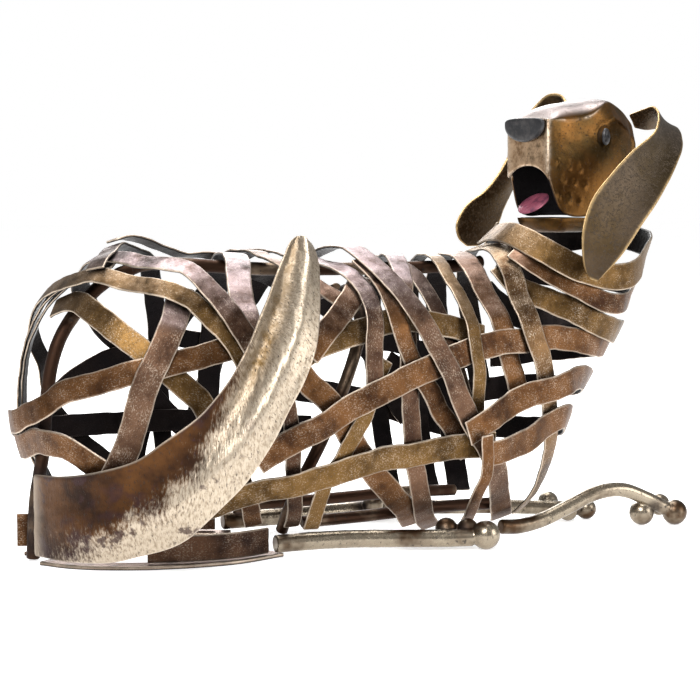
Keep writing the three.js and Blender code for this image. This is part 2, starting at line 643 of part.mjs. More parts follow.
const CHEEK_HALF = 17.25;      // the cheeks' half width at the eyes
const EYE = { back: 25.8, z: 162.4, radius: 3.1, tall: 1.15, narrow: 0.72, proud: 1.6 };

function eye(sign) {
  const profile = [[0, 0], [1, 0], [0.94, 0.4], [0.7, 0.8], [0.35, 0.96], [0, 1]];
  const geometry = new THREE.LatheGeometry(
    profile.map(([r, h]) => new THREE.Vector2(r * EYE.radius, h * EYE.proud)), 14,
  );
  geometry.scale(EYE.narrow, 1, EYE.tall);
  if (sign < 0) geometry.rotateZ(Math.PI);
  geometry.translate(EYE.back, sign * (CHEEK_HALF + WELD_GAP), EYE.z);
  return onHead(geometry);
}

// Each ear's two edges, root to tip: it curls up off the back of the head, folds over and hangs forward.
const NEAR_EAR_INNER = [[41, 15.2, 171.5], [41, 24, 173.5], [40, 30, 174], [38, 35, 171], [33, 38, 164],
  [20, 39, 156], [8, 40, 147], [-3, 41, 137], [-9, 42, 125], [-8.5, 42, 112], [-5, 42, 105.5]];
const NEAR_EAR_OUTER = [[45, 14.6, 166], [48, 19, 165], [54, 23, 166], [54.5, 30, 165], [50, 37, 158],
  [41, 42, 148.5], [30, 45, 137], [19, 46, 126], [9, 46, 115], [1, 44.5, 107.5], [-2, 43, 104.5]];
// The far ear hangs straighter, and ends in a broad round paddle.
const FAR_EAR_INNER = [[33.2, -16.6, 177.3], [34.8, -22, 180.6], [34, -27.6, 181.1], [32.3, -32.2, 178.2],
  [28, -35, 171.7], [23, -36, 162], [17, -37, 151], [9, -38, 141], [-2, -38.5, 134], [-7.5, -38.8, 126.5],
  [-6.5, -38.8, 120], [-1.5, -39, 116.2]];
const FAR_EAR_OUTER = [[35.7, -15.6, 173.5], [40.8, -17.5, 172.6], [45.9, -21.2, 173.5], [46.3, -27.6, 172.6],
  [42.5, -34, 166], [38, -37.5, 158], [31, -39, 149], [25, -40, 140], [20, -40, 132], [16.5, -40, 125],
  [11, -39.8, 119], [5, -39.5, 116.2]];
const EAR_THICK = 1.2;
const EAR_DISH = 1.6;

function ear(inner, outer, outside) {
  return ribbon({
    first: inner.map((row) => headPlace(row).toArray()),
    second: outer.map((row) => headPlace(row).toArray()),
    steps: 16,
    across: 3,
    thick: EAR_THICK,
    bow: (u, v) => -EAR_DISH * Math.sin(Math.PI * v) * Math.sin(Math.PI * u),
    outside,
  });
}

// ---- assembly ----

const hound = new THREE.Group();
hound.position.copy(ORIGIN).negate();

function piece(name, geometry, finish) {
  const mesh = new THREE.Mesh(geometry, new THREE.MeshStandardMaterial(COLOURS[finish]));
  mesh.name = name;
  hound.add(mesh);
}

for (const strap of layStraps()) {
  piece(strap.name, strapGeometry(strap), strap.name.startsWith('rump') ? 'strapPale' : 'strap');
}

piece('spine_bar', spineBar(), 'bar');
piece('thigh_bar_right', bar(THIGH_BAR, BAR_RADIUS, 9), 'bar');
piece('thigh_bar_left', bar(mirror(THIGH_BAR), BAR_RADIUS, 9), 'bar');
piece('sill_bar_right', bar(sillBarRow(150), BAR_RADIUS, 5), 'bar');
piece('sill_bar_left', bar(sillBarRow(210), BAR_RADIUS, 5), 'bar');

piece('hind_leg_right', leg(HIND_LEG, HIND_LEG_RADIUS, 5, HIND_TOES), 'ball');
piece('hind_leg_left', leg(mirror(HIND_LEG), HIND_LEG_RADIUS, 5, mirror(HIND_TOES)), 'ball');
piece('front_leg_right', leg(FRONT_LEG, FRONT_LEG_RADIUS, 9, FRONT_TOES), 'ball');
piece('front_leg_left', leg(FAR_FRONT_LEG, FRONT_LEG_RADIUS, 5, FAR_FRONT_TOES), 'ball');

piece('base_strap_right', planStrap(BASE_PLAN, 0, BASE_THICK, BASE_WIDTH, 12), 'bar');
piece('base_strap_left', planStrap(mirror(BASE_PLAN), 0, BASE_THICK, BASE_WIDTH, 12), 'bar');
piece('base_sill_right', planStrap(SILL_PLAN, SILL_LOW, SILL_TOP, STRAP_THICK, 8), 'strap');
piece('base_sill_left', planStrap(mirror(SILL_PLAN), SILL_LOW, SILL_TOP, STRAP_THICK, 8), 'strap');
piece('rear_tab', planStrap(REAR_TAB_PLAN, REAR_TAB_LOW, REAR_TAB_HIGH, STRAP_THICK, 3), 'bar');

piece('tail', ribbon({
  first: TAIL_UPPER_EDGE,
  second: TAIL_LOWER_EDGE,
  steps: 18,
  across: 6,
  thick: TAIL_THICK,
  bow: tailBow,
  outside: -1,
}), 'tail');

piece('skull', skullGeometry(), 'head');
piece('muzzle_plate', muzzlePlate(), 'head');
piece('nose', nose(), 'black');
piece('jaw', jaw(), 'head');
piece('tongue', tongue(), 'tongue');
piece('eye_right', eye(-1), 'black');
piece('eye_left', eye(1), 'black');
piece('ear_left', ear(NEAR_EAR_INNER, NEAR_EAR_OUTER, 1), 'ear');
piece('ear_right', ear(FAR_EAR_INNER, FAR_EAR_OUTER, -1), 'ear');

export default hound;
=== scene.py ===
"""The looks of a hound lying down with its head turned back, welded up from hand-bent steel straps."""
import logging
import math
from dataclasses import dataclass, field
from enum import Enum
from typing import Callable

import bpy
import numpy as np
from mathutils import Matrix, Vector


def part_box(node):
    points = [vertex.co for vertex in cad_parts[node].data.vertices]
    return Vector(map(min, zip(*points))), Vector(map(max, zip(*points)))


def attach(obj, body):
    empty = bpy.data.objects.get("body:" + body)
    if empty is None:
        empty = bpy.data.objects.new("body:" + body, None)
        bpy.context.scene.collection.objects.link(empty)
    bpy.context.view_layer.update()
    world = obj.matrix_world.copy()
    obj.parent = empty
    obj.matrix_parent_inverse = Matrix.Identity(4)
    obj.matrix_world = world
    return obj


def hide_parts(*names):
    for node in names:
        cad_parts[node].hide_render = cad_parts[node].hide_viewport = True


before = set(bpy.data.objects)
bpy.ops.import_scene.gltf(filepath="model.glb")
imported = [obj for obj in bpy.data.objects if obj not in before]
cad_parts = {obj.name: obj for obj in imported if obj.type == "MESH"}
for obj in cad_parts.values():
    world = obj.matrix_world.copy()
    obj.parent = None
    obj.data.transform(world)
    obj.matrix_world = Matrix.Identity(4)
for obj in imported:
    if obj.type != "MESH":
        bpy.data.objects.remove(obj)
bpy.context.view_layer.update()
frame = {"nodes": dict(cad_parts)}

log = logging.getLogger("hound")
Array = np.ndarray
Colour = tuple[float, float, float]

# The maker's frame is in millimetres, with its origin on the floor under the rump. ORIGIN carries it to the
# part's.
ORIGIN = np.array([133.0, -9.3, 0.0])
MM = 0.001


# ---- numbers that vary smoothly ----

def smooth(rows: Array, u: Array) -> Array:
    """A smooth curve through rows of numbers, evenly paced: the cubic through each pair of rows whose slope at a
    row is half the step from the row before to the row after.

    Args:
        rows: The rows the curve goes through.
        u: Where on the curve, counted in rows.

    Returns:
        One row of numbers for each u.
    """
    rows = np.asarray(rows, float)
    last = len(rows) - 1
    padded = np.vstack([2 * rows[0] - rows[1], rows, 2 * rows[-1] - rows[-2]])
    u = np.clip(np.asarray(u, float), 0, last)
    i = np.minimum(u.astype(int), last - 1)
    t = (u - i)[:, None]
    p0, p1, p2, p3 = (padded[i + k] for k in range(4))
    return 0.5 * (2 * p1 + (p2 - p0) * t + (2 * p0 - 5 * p1 + 4 * p2 - p3) * t**2
                  + (3 * p1 - p0 - 3 * p2 + p3) * t**3)


def along(rows: list, count: int) -> Array:
    """count points evenly paced in rows along the smooth curve through rows."""
    return smooth(np.array(rows, float), np.linspace(0, len(rows) - 1, count))


def unit(v: Array) -> Array:
    """Vectors scaled to length one."""
    return v / np.maximum(np.linalg.norm(v, axis=-1, keepdims=True), 1e-9)


def ease(v: Array, low: float, high: float) -> Array:
    """0 below low, 1 above high, and a smooth S between."""
    t = np.clip((v - low) / (high - low), 0, 1)
    return t * t * (3 - 2 * t)


def wander(x: Array, seed: float, pitch: float = 1.0) -> Array:
    """An irregular wave between about -1 and 1: three sines whose lengths don't fit each other.

    Args:
        x: Where on the wave.
        seed: Which wave.
        pitch: Its main wavelength.

    Returns:
        The wave's height at each x.
    """
    x = np.asarray(x, float) * 2 * math.pi / pitch
    return (np.sin(x + 1.7 * seed) + 0.6 * np.sin(2.31 * x + 4.1 * seed) + 0.35
        * np.sin(4.73 * x + 2.3 * seed)) / 1.6


def signed_power(v: Array, exponent: float) -> Array:
    """|v| to a power, with v's sign."""
    return np.sign(v) * np.abs(v) ** exponent


# ---- skins ----

@dataclass
class Skin:
    """A closed skin of rings: rows along a path, columns round each ring, in millimetres in the maker's frame."""

    points: Array
    strip: Array
    edge: Array | None = None
    inside: Array | None = None
    run: Array | None = None
    side: Array | None = None

    def faces(self) -> tuple[Array, Array, int]:
        """The faces: quads between neighbouring rings, and across the first and last ring from one half to the
        other. They all turn outwards, which is told by the skin's signed volume.

        Returns:
            The quads, their corners' strip coordinates, and how many of them lie between rings.
        """
        rows, columns = self.points.shape[:2]
        r, c = (grid.reshape(-1) for grid in np.meshgrid(np.arange(rows - 1), np.arange(columns),
            indexing="ij"))
        i = np.arange(columns // 2 - 1)
        first = np.stack([columns - 1 - i, columns - 2 - i, i + 1, i], -1)
        last = first[:, ::-1]
        row = np.concatenate([np.stack([r, r, r + 1, r + 1], -1), np.zeros_like(first),
            np.full_like(last, rows - 1)])
        column = np.concatenate([np.stack([c, c + 1, c + 1, c], -1), first, last])
        quads = row * columns + column % columns
        corners = self.strip[row, column]
        p = self.points.reshape(-1, 3)
        a, b, c, d = (p[quads[:, k]] - p.mean(0) for k in range(4))
        if (np.cross(a, b) * c).sum() + (np.cross(a, c) * d).sum() < 0:
            quads, corners = quads[:, ::-1], corners[:, ::-1]
        return quads, corners, len(r)


def eased_ends(points: Array, inset: float) -> Array:
    """Rounds a skin's two cut ends: each end ring moves in by inset, and a ring drawn in by inset closes it.

    Args:
        points: The rings' points.
        inset: The rounding.

    Returns:
        The rings with one more at each end.
    """
    def cap(end: Array, second: Array) -> tuple[Array, Array]:
        middle = end.mean(0)
        spread = end - middle
        share = np.minimum(inset / np.maximum(np.linalg.norm(spread, axis=1, keepdims=True), 1e-6), 0.45)
        return middle + spread * (1 - share), end + unit(second.mean(0) - middle) * inset
    small_first, first = cap(points[0], points[1])
    small_last, last = cap(points[-1], points[-2])
    return np.concatenate([[small_first, first], points[1:-1], [last, small_last]])


def ring_strip(points: Array) -> Array:
    """Lengths along the path and round the ring, in centimetres, as the strip pattern's coordinates.

    Args:
        points: The rings' points.

    Returns:
        Rows by columns plus one by two.
    """
    step_along = np.linalg.norm(np.diff(points, axis=0), axis=2).mean(1)
    length = np.concatenate([[0], np.cumsum(step_along)])
    closed = np.concatenate([points, points[:, :1]], axis=1)
    step_round = np.linalg.norm(np.diff(closed, axis=1), axis=2).mean(0)
    girth = np.concatenate([[0], np.cumsum(step_round)])
    u, v = np.meshgrid(length, girth, indexing="ij")
    return np.stack([u, v], axis=-1) / 10


def sweep(path: Array, side: Array, up: Array, profile: Array) -> Skin:
    """Carries a profile along a path: point = path + side x profile's first number + up x its second.

    Args:
        path: Points of the path.
        side: The profile's first direction at each point.
        up: The profile's second direction at each point.
        profile: Columns by 2, or rows by columns by 2 where it changes on the way.

    Returns:
        The closed skin.
    """
    if profile.ndim == 2:
        profile = np.broadcast_to(profile, (len(path), *profile.shape))
    points = path[:, None] + side[:, None] * profile[..., :1] + up[:, None] * profile[..., 1:2]
    return Skin(points, ring_strip(points))


def path_frame(path: Array, upright: Array) -> tuple[Array, Array]:
    """Two directions square to a path, the second as near upright as it can be.

    Args:
        path: Points of the path.
        upright: A direction, or one for each point.

    Returns:
        The side and up directions.
    """
    ahead = unit(np.gradient(path, axis=0))
    side = unit(np.cross(ahead, np.broadcast_to(upright, path.shape)))
    return side, np.cross(side, ahead)


def round_profile(radius: Array | float, columns: int = 20) -> Array:
    """A circle's points, or one circle for each radius."""
    angle = np.linspace(0, 2 * math.pi, columns, endpoint=False)
    circle = np.stack([np.cos(angle), np.sin(angle)], axis=-1)
    return np.multiply.outer(np.asarray(radius, float), circle) if np.ndim(radius) else radius * circle


@dataclass(frozen=True)
class StrapSection:
    """A strap's section: flat faces, slightly crowned, with rounded edges."""

    thick: float = 1.1
    round_off: float = 0.32
    crown: float = 0.12

    def profile(self, width: Array) -> Array:
        """The section for each width: across is a share of the width, and up runs from the inner face to the outer.

        Args:
            width: The strap's width at each row.

        Returns:
            Rows by columns by 2.
        """
        share = np.array([-1, -0.9, -0.45, 0, 0.45, 0.9, 1])
        flat = width[:, None] / 2 - self.round_off
        rise = self.thick - self.crown * share**2
        top = np.stack([flat * share, np.broadcast_to(rise, (len(width), 7))], -1)
        low = np.stack([flat * share[::-1], np.zeros((len(width), 7))], -1)
        right = np.stack([np.stack([width / 2, np.full_like(width, self.thick - self.round_off)], -1),
                          np.stack([width / 2, np.full_like(width, self.round_off)], -1)], 1)
        left = right[:, ::-1] * np.array([-1, 1])
        return np.concatenate([top, right, low, left], axis=1)

    @staticmethod
    def edge() -> Array:
        """How near the cut edge each column is; the finish paints a highlight and pale wear there."""
        return np.array([0.75, 0.12, 0, 0, 0, 0.12, 0.75, 1, 0.7, 0.2, 0, 0, 0, 0, 0, 0.2, 0.7, 1])

    @staticmethod
    def inside() -> Array:
        """1 on the columns of the inner face."""
        return np.array([0, 0, 0, 0, 0, 0, 0, 0, 0.6, 1, 1, 1, 1, 1, 1, 1, 0.6, 0], float)


def ball(centre: Array, radius: float, rows: int = 22, columns: int = 32) -> Skin:
    """A sphere from pole to pole, its rings' radius the sine of the way down."""
    angle = np.linspace(0.04, math.pi - 0.04, rows)
    axis = np.zeros((rows, 3))
    axis[:, 2] = np.cos(angle) * radius
    side = np.broadcast_to(np.array([1.0, 0, 0]), (rows, 3))
    up = np.broadcast_to(np.array([0, 1.0, 0]), (rows, 3))
    return sweep(axis + centre, side, up, round_profile(np.sin(angle) * radius, columns))


# ---- pieces ----

def cad_box(nodes: list[str]) -> tuple[Array, Array]:
    """The box round some CAD nodes, in metres."""
    boxes = [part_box(node) for node in nodes]
    return np.min([b[0] for b in boxes], axis=0), np.max([b[1] for b in boxes], axis=0)


def make_piece(name: str, skins: list[Skin], nodes: list[str], material: bpy.types.Material,
               seat: bool = True) -> bpy.types.Object:
    """Args:
        name: The piece's name.
        skins: Its closed skins, in millimetres in the maker's frame.
        nodes: The CAD nodes it stands for, or none.
        material: Its finish.
        seat: Whether to stretch it by a hair so that its box is its nodes' box.

    Returns:
        The finished object.
    """
    verts, faces, strips, smoothed = [], [], [], []
    marks = {key: [] for key in ("edge", "inside", "run", "side")}
    start = 0
    for skin in skins:
        quads, corners, between = skin.faces()
        faces.append(quads + start)
        strips.append(corners.reshape(-1, 2))
        smoothed.append(np.arange(len(quads)) < between)
        verts.append(skin.points.reshape(-1, 3))
        for key, values in marks.items():
            given = getattr(skin, key)
            full = np.broadcast_to(0.0 if given is None else given, skin.points.shape[:2])
            values.append(full.reshape(-1))
        start += skin.points.shape[0] * skin.points.shape[1]
    places = (np.concatenate(verts) - ORIGIN) * MM
    if nodes and seat:
        places = seat_in_box(places, *cad_box(nodes))
    mesh = bpy.data.meshes.new(name)
    mesh.from_pydata(places.tolist(), [], np.concatenate(faces).tolist())
    mesh.polygons.foreach_set("use_smooth", np.concatenate(smoothed))
    layer = mesh.uv_layers.new(name="strip")
    layer.data.foreach_set("uv", np.concatenate(strips).astype(np.float32).reshape(-1))
    for key, values in marks.items():
        mesh.attributes.new(key, "FLOAT", "POINT").data.foreach_set("value",
            np.concatenate(values).astype(np.float32))
    mesh.update()
    # sky: how far each point's face looks up; the finishes paint a sky sheen and a sky reflection from it.
    lean = np.zeros(len(places) * 3, np.float32)
    mesh.vertex_normals.foreach_get("vector", lean)
    sky = np.clip(lean.reshape(-1, 3)[:, 2], 0, 1)
    mesh.attributes.new("sky", "FLOAT", "POINT").data.foreach_set("value", sky.astype(np.float32))
    mesh.materials.append(material)
    piece = bpy.data.objects.new(name, mesh)
    bpy.context.scene.collection.objects.link(piece)
    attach(piece, "root")
    if nodes:
        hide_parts(*nodes)
    return piece


def seat_in_box(places: Array, low: Array, high: Array) -> Array:
    """Scales and shifts points along each axis so that their box is the box given.

    Args:
        places: The points.
        low: The box's low corner.
        high: Its high corner.

    Returns:
        The seated points.
    """
    lo, hi = places.min(0), places.max(0)
    low, high = np.array(low), np.array(high)
    return low + (places - lo) * (high - low) / np.maximum(hi - lo, 1e-6)


# ---- shader nodes ----

class Value:
    """A socket, or a number, that adds Math nodes when it is worked with."""

    def __init__(self, bench: "Bench", socket: bpy.types.NodeSocket) -> None:
        """Keeps the bench it belongs to and its socket."""
        self.bench, self.socket = bench, socket

    def _math(self, operation: str, *terms: "Value | float") -> "Value":
        """One Math node on some terms."""
        return self.bench.math(operation, *terms)

    def __add__(self, other: "Value | float") -> "Value":
        """self + other."""
        return self._math("ADD", self, other)

    def __sub__(self, other: "Value | float") -> "Value":
        """self - other."""
        return self._math("SUBTRACT", self, other)

    def __rsub__(self, other: float) -> "Value":
        """other - self."""
        return self._math("SUBTRACT", other, self)

    def __mul__(self, other: "Value | float") -> "Value":
        """self x other."""
        return self._math("MULTIPLY", self, other)

    def __truediv__(self, other: "Value | float") -> "Value":
        """self / other."""
        return self._math("DIVIDE", self, other)

    def __pow__(self, other: float) -> "Value":
        """self to a power."""
        return self._math("POWER", self, other)

    __radd__ = __add__
    __rmul__ = __mul__

    def ramp(self, low: float, high: float) -> "Value":
        """0 below low, 1 above high, smooth between."""
        node = self.bench.node("ShaderNodeMapRange", {"interpolation_type": "SMOOTHSTEP", "clamp": True},
                               {"Value": self, "From Min": low, "From Max": high, "To Min": 0.0,
                               "To Max": 1.0})
        return Value(self.bench, node.outputs["Result"])

    def clip(self) -> "Value":
        """Held between 0 and 1."""
        return self.bench.math("MAXIMUM", self.bench.math("MINIMUM", self, 1.0), 0.0)


class Bench:
    """Lays out one material's nodes."""

    def __init__(self, name: str) -> None:
        """Starts an empty material with its output and its metal shader."""
        self.material = bpy.data.materials.new(name)
        self.material.use_nodes = True
        self.tree = self.material.node_tree
        self.tree.nodes.clear()
        self.out = self.tree.nodes.new("ShaderNodeOutputMaterial")
        self.shader = self.tree.nodes.new("ShaderNodeBsdfPrincipled")
        self.tree.links.new(self.shader.outputs[0], self.out.inputs["Surface"])

    def plug(self, socket: bpy.types.NodeSocket, value: object) -> None:
        """Sets a socket to a number or tuple, or links it."""
        if isinstance(value, Value):
            self.tree.links.new(value.socket, socket)
        elif isinstance(value, bpy.types.NodeSocket):
            self.tree.links.new(value, socket)
        else:
            socket.default_value = value

    def node(self, kind: str, settings: dict, sockets: dict) -> bpy.types.Node:
        """Adds a node.

        Args:
            kind: The node's type.
            settings: Its properties, set first.
            sockets: Its inputs by name or number, as values or links.

        Returns:
            The node.
        """
        made = self.tree.nodes.new(kind)
        for key, value in settings.items():
            setattr(made, key, value)
        for key, value in sockets.items():
            self.plug(made.inputs[key], value)
        return made

    def math(self, operation: str, *terms: "Value | float") -> Value:
        """One Math node on some terms."""
        return Value(self,
            self.node("ShaderNodeMath", {"operation": operation}, dict(enumerate(terms))).outputs[0])

    def mark(self, name: str) -> Value:
        """A number the mesh carries."""
        return Value(self, self.node("ShaderNodeAttribute", {"attribute_name": name}, {}).outputs["Fac"])

    def strip(self, stretch: tuple[float, float]) -> bpy.types.NodeSocket:
        """Coordinates along and round the strip, in centimetres, stretched."""
        uv = self.node("ShaderNodeUVMap", {"uv_map": "strip"}, {}).outputs[0]
        scaled = self.node("ShaderNodeVectorMath", {"operation": "MULTIPLY"}, {0: uv, 1: (*stretch, 1.0)})
        return scaled.outputs[0]

    def place(self) -> bpy.types.NodeSocket:
        """Object coordinates, in metres."""
        return self.node("ShaderNodeTexCoord", {}, {}).outputs["Object"]

    def noise(self, where: bpy.types.NodeSocket, scale: float, detail: float = 3.0,
        rough: float = 0.55) -> Value:
        """A cloudy value between 0 and 1."""
        made = self.node("ShaderNodeTexNoise", {},
            {"Vector": where, "Scale": scale, "Detail": detail, "Roughness": rough})
        return Value(self, made.outputs["Fac"])

    def mix(self, share: "Value | float", first: object, second: object,
        blend: str = "MIX") -> bpy.types.NodeSocket:
        """Mixes two colours by a share."""
        first, second = ((*c, 1.0) if isinstance(c, tuple) else c for c in (first, second))
        made = self.node("ShaderNodeMix", {"data_type": "RGBA", "blend_type": blend},
            {0: share, 6: first, 7: second})
        return made.outputs[2]

    def near(self, spots: tuple[tuple[float, float, float], ...], radius: float) -> Value:
        """1 at any of some places, in millimetres in the maker's frame, and 0 further off than radius."""
        place = self.place()
        total = None
        for spot in spots:
            where = tuple(float(v) for v in (np.array(spot) - ORIGIN) * MM)
            off = self.node("ShaderNodeVectorMath", {"operation": "DISTANCE"},
                {0: place, 1: where}).outputs["Value"]
            close = 1 - Value(self, off).ramp(0.35 * radius * MM, radius * MM)
            total = close if total is None else self.math("MAXIMUM", total, close)
        return total

    def finish(self, colour: object, rough: "Value | float", metal: "Value | float", height: Value | None,
               depth: float) -> bpy.types.Material:
        """Plugs the shader.

        Args:
            colour: The base colour.
            rough: The roughness.
            metal: How metallic it is.
            height: The relief, or none.
            depth: The relief's depth in metres.

        Returns:
            The material.
        """
        self.plug(self.shader.inputs["Base Color"], (*colour, 1.0) if isinstance(colour, tuple) else colour)
        self.plug(self.shader.inputs["Roughness"], rough)
        self.plug(self.shader.inputs["Metallic"], metal)
        if height is not None:
            bump = self.node("ShaderNodeBump", {}, {"Strength": 1.0, "Distance": depth, "Height": height})
            self.plug(self.shader.inputs["Normal"], bump.outputs[0])
        return self.material


# ---- finishes ----

class Tone(Enum):
    """The heat colours a strap can have: deep, warm, a painted sky sheen on faces that look up, and how pale it is
    worn.
    """

    COPPER = ((0.030, 0.014, 0.008), (0.135, 0.062, 0.024), (0.27, 0.185, 0.15), 0.34)
    OLIVE = ((0.034, 0.019, 0.008), (0.150, 0.083, 0.028), (0.26, 0.18, 0.115), 0.34)
    VIOLET = ((0.036, 0.019, 0.013), (0.130, 0.072, 0.044), (0.40, 0.33, 0.345), 0.42)
    CREAM = ((0.045, 0.021, 0.009), (0.175, 0.100, 0.046), (0.33, 0.25, 0.17), 0.85)
    UMBER = ((0.017, 0.010, 0.008), (0.070, 0.036, 0.021), (0.16, 0.12, 0.11), 0.22)


# The inner faces' colour: painted shade over their darker unpainted steel.
INNER_FACE_DARK_AND_SHADE: Colour = (0.011, 0.010, 0.011)
# Pale worn steel, and the painted highlight on cut edges, rims and folds.
WORN_PALE_AND_EDGE_HIGHLIGHT: Colour = (0.66, 0.56, 0.45)
PIT_BLACK: Colour = (0.012, 0.008, 0.006)


@dataclass(frozen=True)
class StrapPatina:
    """Heat-browned strap steel: clouds of two browns, streaks along the strap, pits, edges pale with wear and a
    painted highlight, a painted sky sheen on faces that look up, and a near-black inner face: painted shade over its
    darker unpainted steel.
    """

    tone: Tone
    roughness: float = 0.40
    cloud: float = 48.0
    depth: float = 0.00026

    def material(self) -> bpy.types.Material:
        """Builds the material."""
        bench = Bench(f"strap_{self.tone.name.lower()}")
        deep, warm, sky_sheen, worn = self.tone.value
        place = bench.place()
        clouds = bench.noise(place, self.cloud, 5.0, 0.62)
        patches = bench.noise(place, self.cloud * 3.4, 4.0, 0.65)
        grain = bench.noise(place, 900.0, 3.0, 0.6)
        flecks = bench.noise(bench.strip((5.0, 8.0)), 2.6, 3.0, 0.75)
        hair = bench.noise(bench.strip((1.0, 34.0)), 1.2, 2.0, 0.5)
        specks = bench.noise(bench.strip((5.0, 7.0)), 3.1, 3.0, 0.6).ramp(0.62, 0.68)
        colour = bench.mix((clouds * 0.75 + patches * 0.35).ramp(0.36, 0.66), deep, warm)
        # Painted sky sheen: faces that look up are mixed, in patches, towards a pale sheen colour.
        sky_sheen_share = (bench.mark("sky").ramp(0.35, 0.98) * (clouds * 0.5 + patches * 0.7).ramp(0.38,
            0.72)).clip()
        colour = bench.mix(sky_sheen_share * 0.9, colour, sky_sheen)
        rubbed = (flecks * 0.8 + patches * 0.35 + hair * 0.08).ramp(0.64, 0.78) * worn
        colour = bench.mix(rubbed, colour, WORN_PALE_AND_EDGE_HIGHLIGHT)
        # Painted highlight along the cut edges, in patches, together with real pale wear.
        rim = ((bench.mark("edge") ** 2.6) * (patches * 1.5 + 0.15)).clip()
        colour = bench.mix(rim * 0.8, colour, WORN_PALE_AND_EDGE_HIGHLIGHT)
        colour = bench.mix(specks * 0.85, colour, PIT_BLACK)
        # Painted shade: the inner face, seen through the gaps, is darkened almost to black; partly its darker
        # unpainted steel.
        inner_face_shade = bench.mark("inside").ramp(0.25, 0.75)
        colour = bench.mix(inner_face_shade * 0.96, colour, INNER_FACE_DARK_AND_SHADE)
        rough = (grain * 0.22 + patches * 0.25 + self.roughness - 0.20 + specks * 0.25 - rubbed * 0.10).clip()
        metal = 1 - specks * (1 - inner_face_shade) * 0.6
        relief = grain * 0.35 + patches * 0.5 + hair * 0.12 + rubbed * 0.2 - specks * 0.8
        return bench.finish(colour, rough, metal, relief, self.depth)


@dataclass(frozen=True)
class TailPatina:
    """The tail's leaf: copper-brown at the root, cross-brushed silver over the rest, golden in its valley."""

    root: Colour = (0.022, 0.012, 0.009)
    ember: Colour = (0.095, 0.042, 0.016)
    gold: Colour = (0.110, 0.067, 0.027)
    silver: Colour = (0.50, 0.42, 0.325)
    violet: Colour = (0.045, 0.024, 0.024)

    def material(self) -> bpy.types.Material:
        """Builds the material."""
        bench = Bench("tail_patina")
        place = bench.place()
        run, side = bench.mark("run"), bench.mark("side")
        clouds = bench.noise(place, 42.0, 4.0, 0.62)
        fine = bench.noise(place, 300.0, 4.0, 0.65)
        brush = bench.noise(bench.strip((1.6, 0.9)), 5.5, 3.0, 0.7)
        scratch = bench.noise(bench.strip((7.0, 0.8)), 2.4, 3.0, 0.6)
        specks = bench.noise(bench.strip((5.2, 2.2)), 2.6, 2.0, 0.6).ramp(0.62, 0.66)
        brown = bench.mix(clouds.ramp(0.35, 0.65), self.root, self.ember)
        brown = bench.mix(bench.noise(place, 70.0, 3.0).ramp(0.52, 0.66) * 0.8, brown, self.violet)
        ragged = (clouds - 0.5) * 0.60 + (brush - 0.5) * 0.30 + (scratch - 0.5) * 0.10
        bright = (run * 0.80 + side * 0.42 + ragged).ramp(0.36, 0.54)
        pale = bench.mix(brush.ramp(0.28, 0.60) * 0.6 + 0.4, self.gold, self.silver)
        valley = (1 - ((side - 0.22) * 3.4) ** 2).clip() * run.ramp(0.36, 0.60)
        pale = bench.mix((valley * (0.75 + (fine - 0.5) * 1.2 + (clouds - 0.5))).clip(), pale, self.gold)
        colour = bench.mix(bright, brown, pale)
        stain = bench.noise(place, 95.0, 4.0, 0.65).ramp(0.57, 0.64) * (1 - run).ramp(0.35, 0.7)
        colour = bench.mix(stain * 0.8, colour, self.violet)
        colour = bench.mix(specks * (0.45 + run * 0.5), colour, (0.030, 0.018, 0.012))
        # Painted highlight along the leaf's rims, together with real pale wear.
        rim = (bench.mark("edge") ** 2) * 0.8
        colour = bench.mix(rim, colour, WORN_PALE_AND_EDGE_HIGHLIGHT)
        # Painted shade: the leaf's inner face is darkened almost to black; partly its darker unpainted steel.
        inner_face_shade = bench.mark("inside").ramp(0.25, 0.75)
        colour = bench.mix(inner_face_shade * 0.95, colour, INNER_FACE_DARK_AND_SHADE)
        rough = (0.30 + fine * 0.22 + (1 - bright) * 0.12 + specks * 0.2 + inner_face_shade * 0.2).clip()
        metal = 1 - specks * (1 - inner_face_shade) * 0.5
        relief = fine * 0.5 + scratch * 0.4 - specks * 0.8
        return bench.finish(colour, rough, metal, relief, 0.00030)


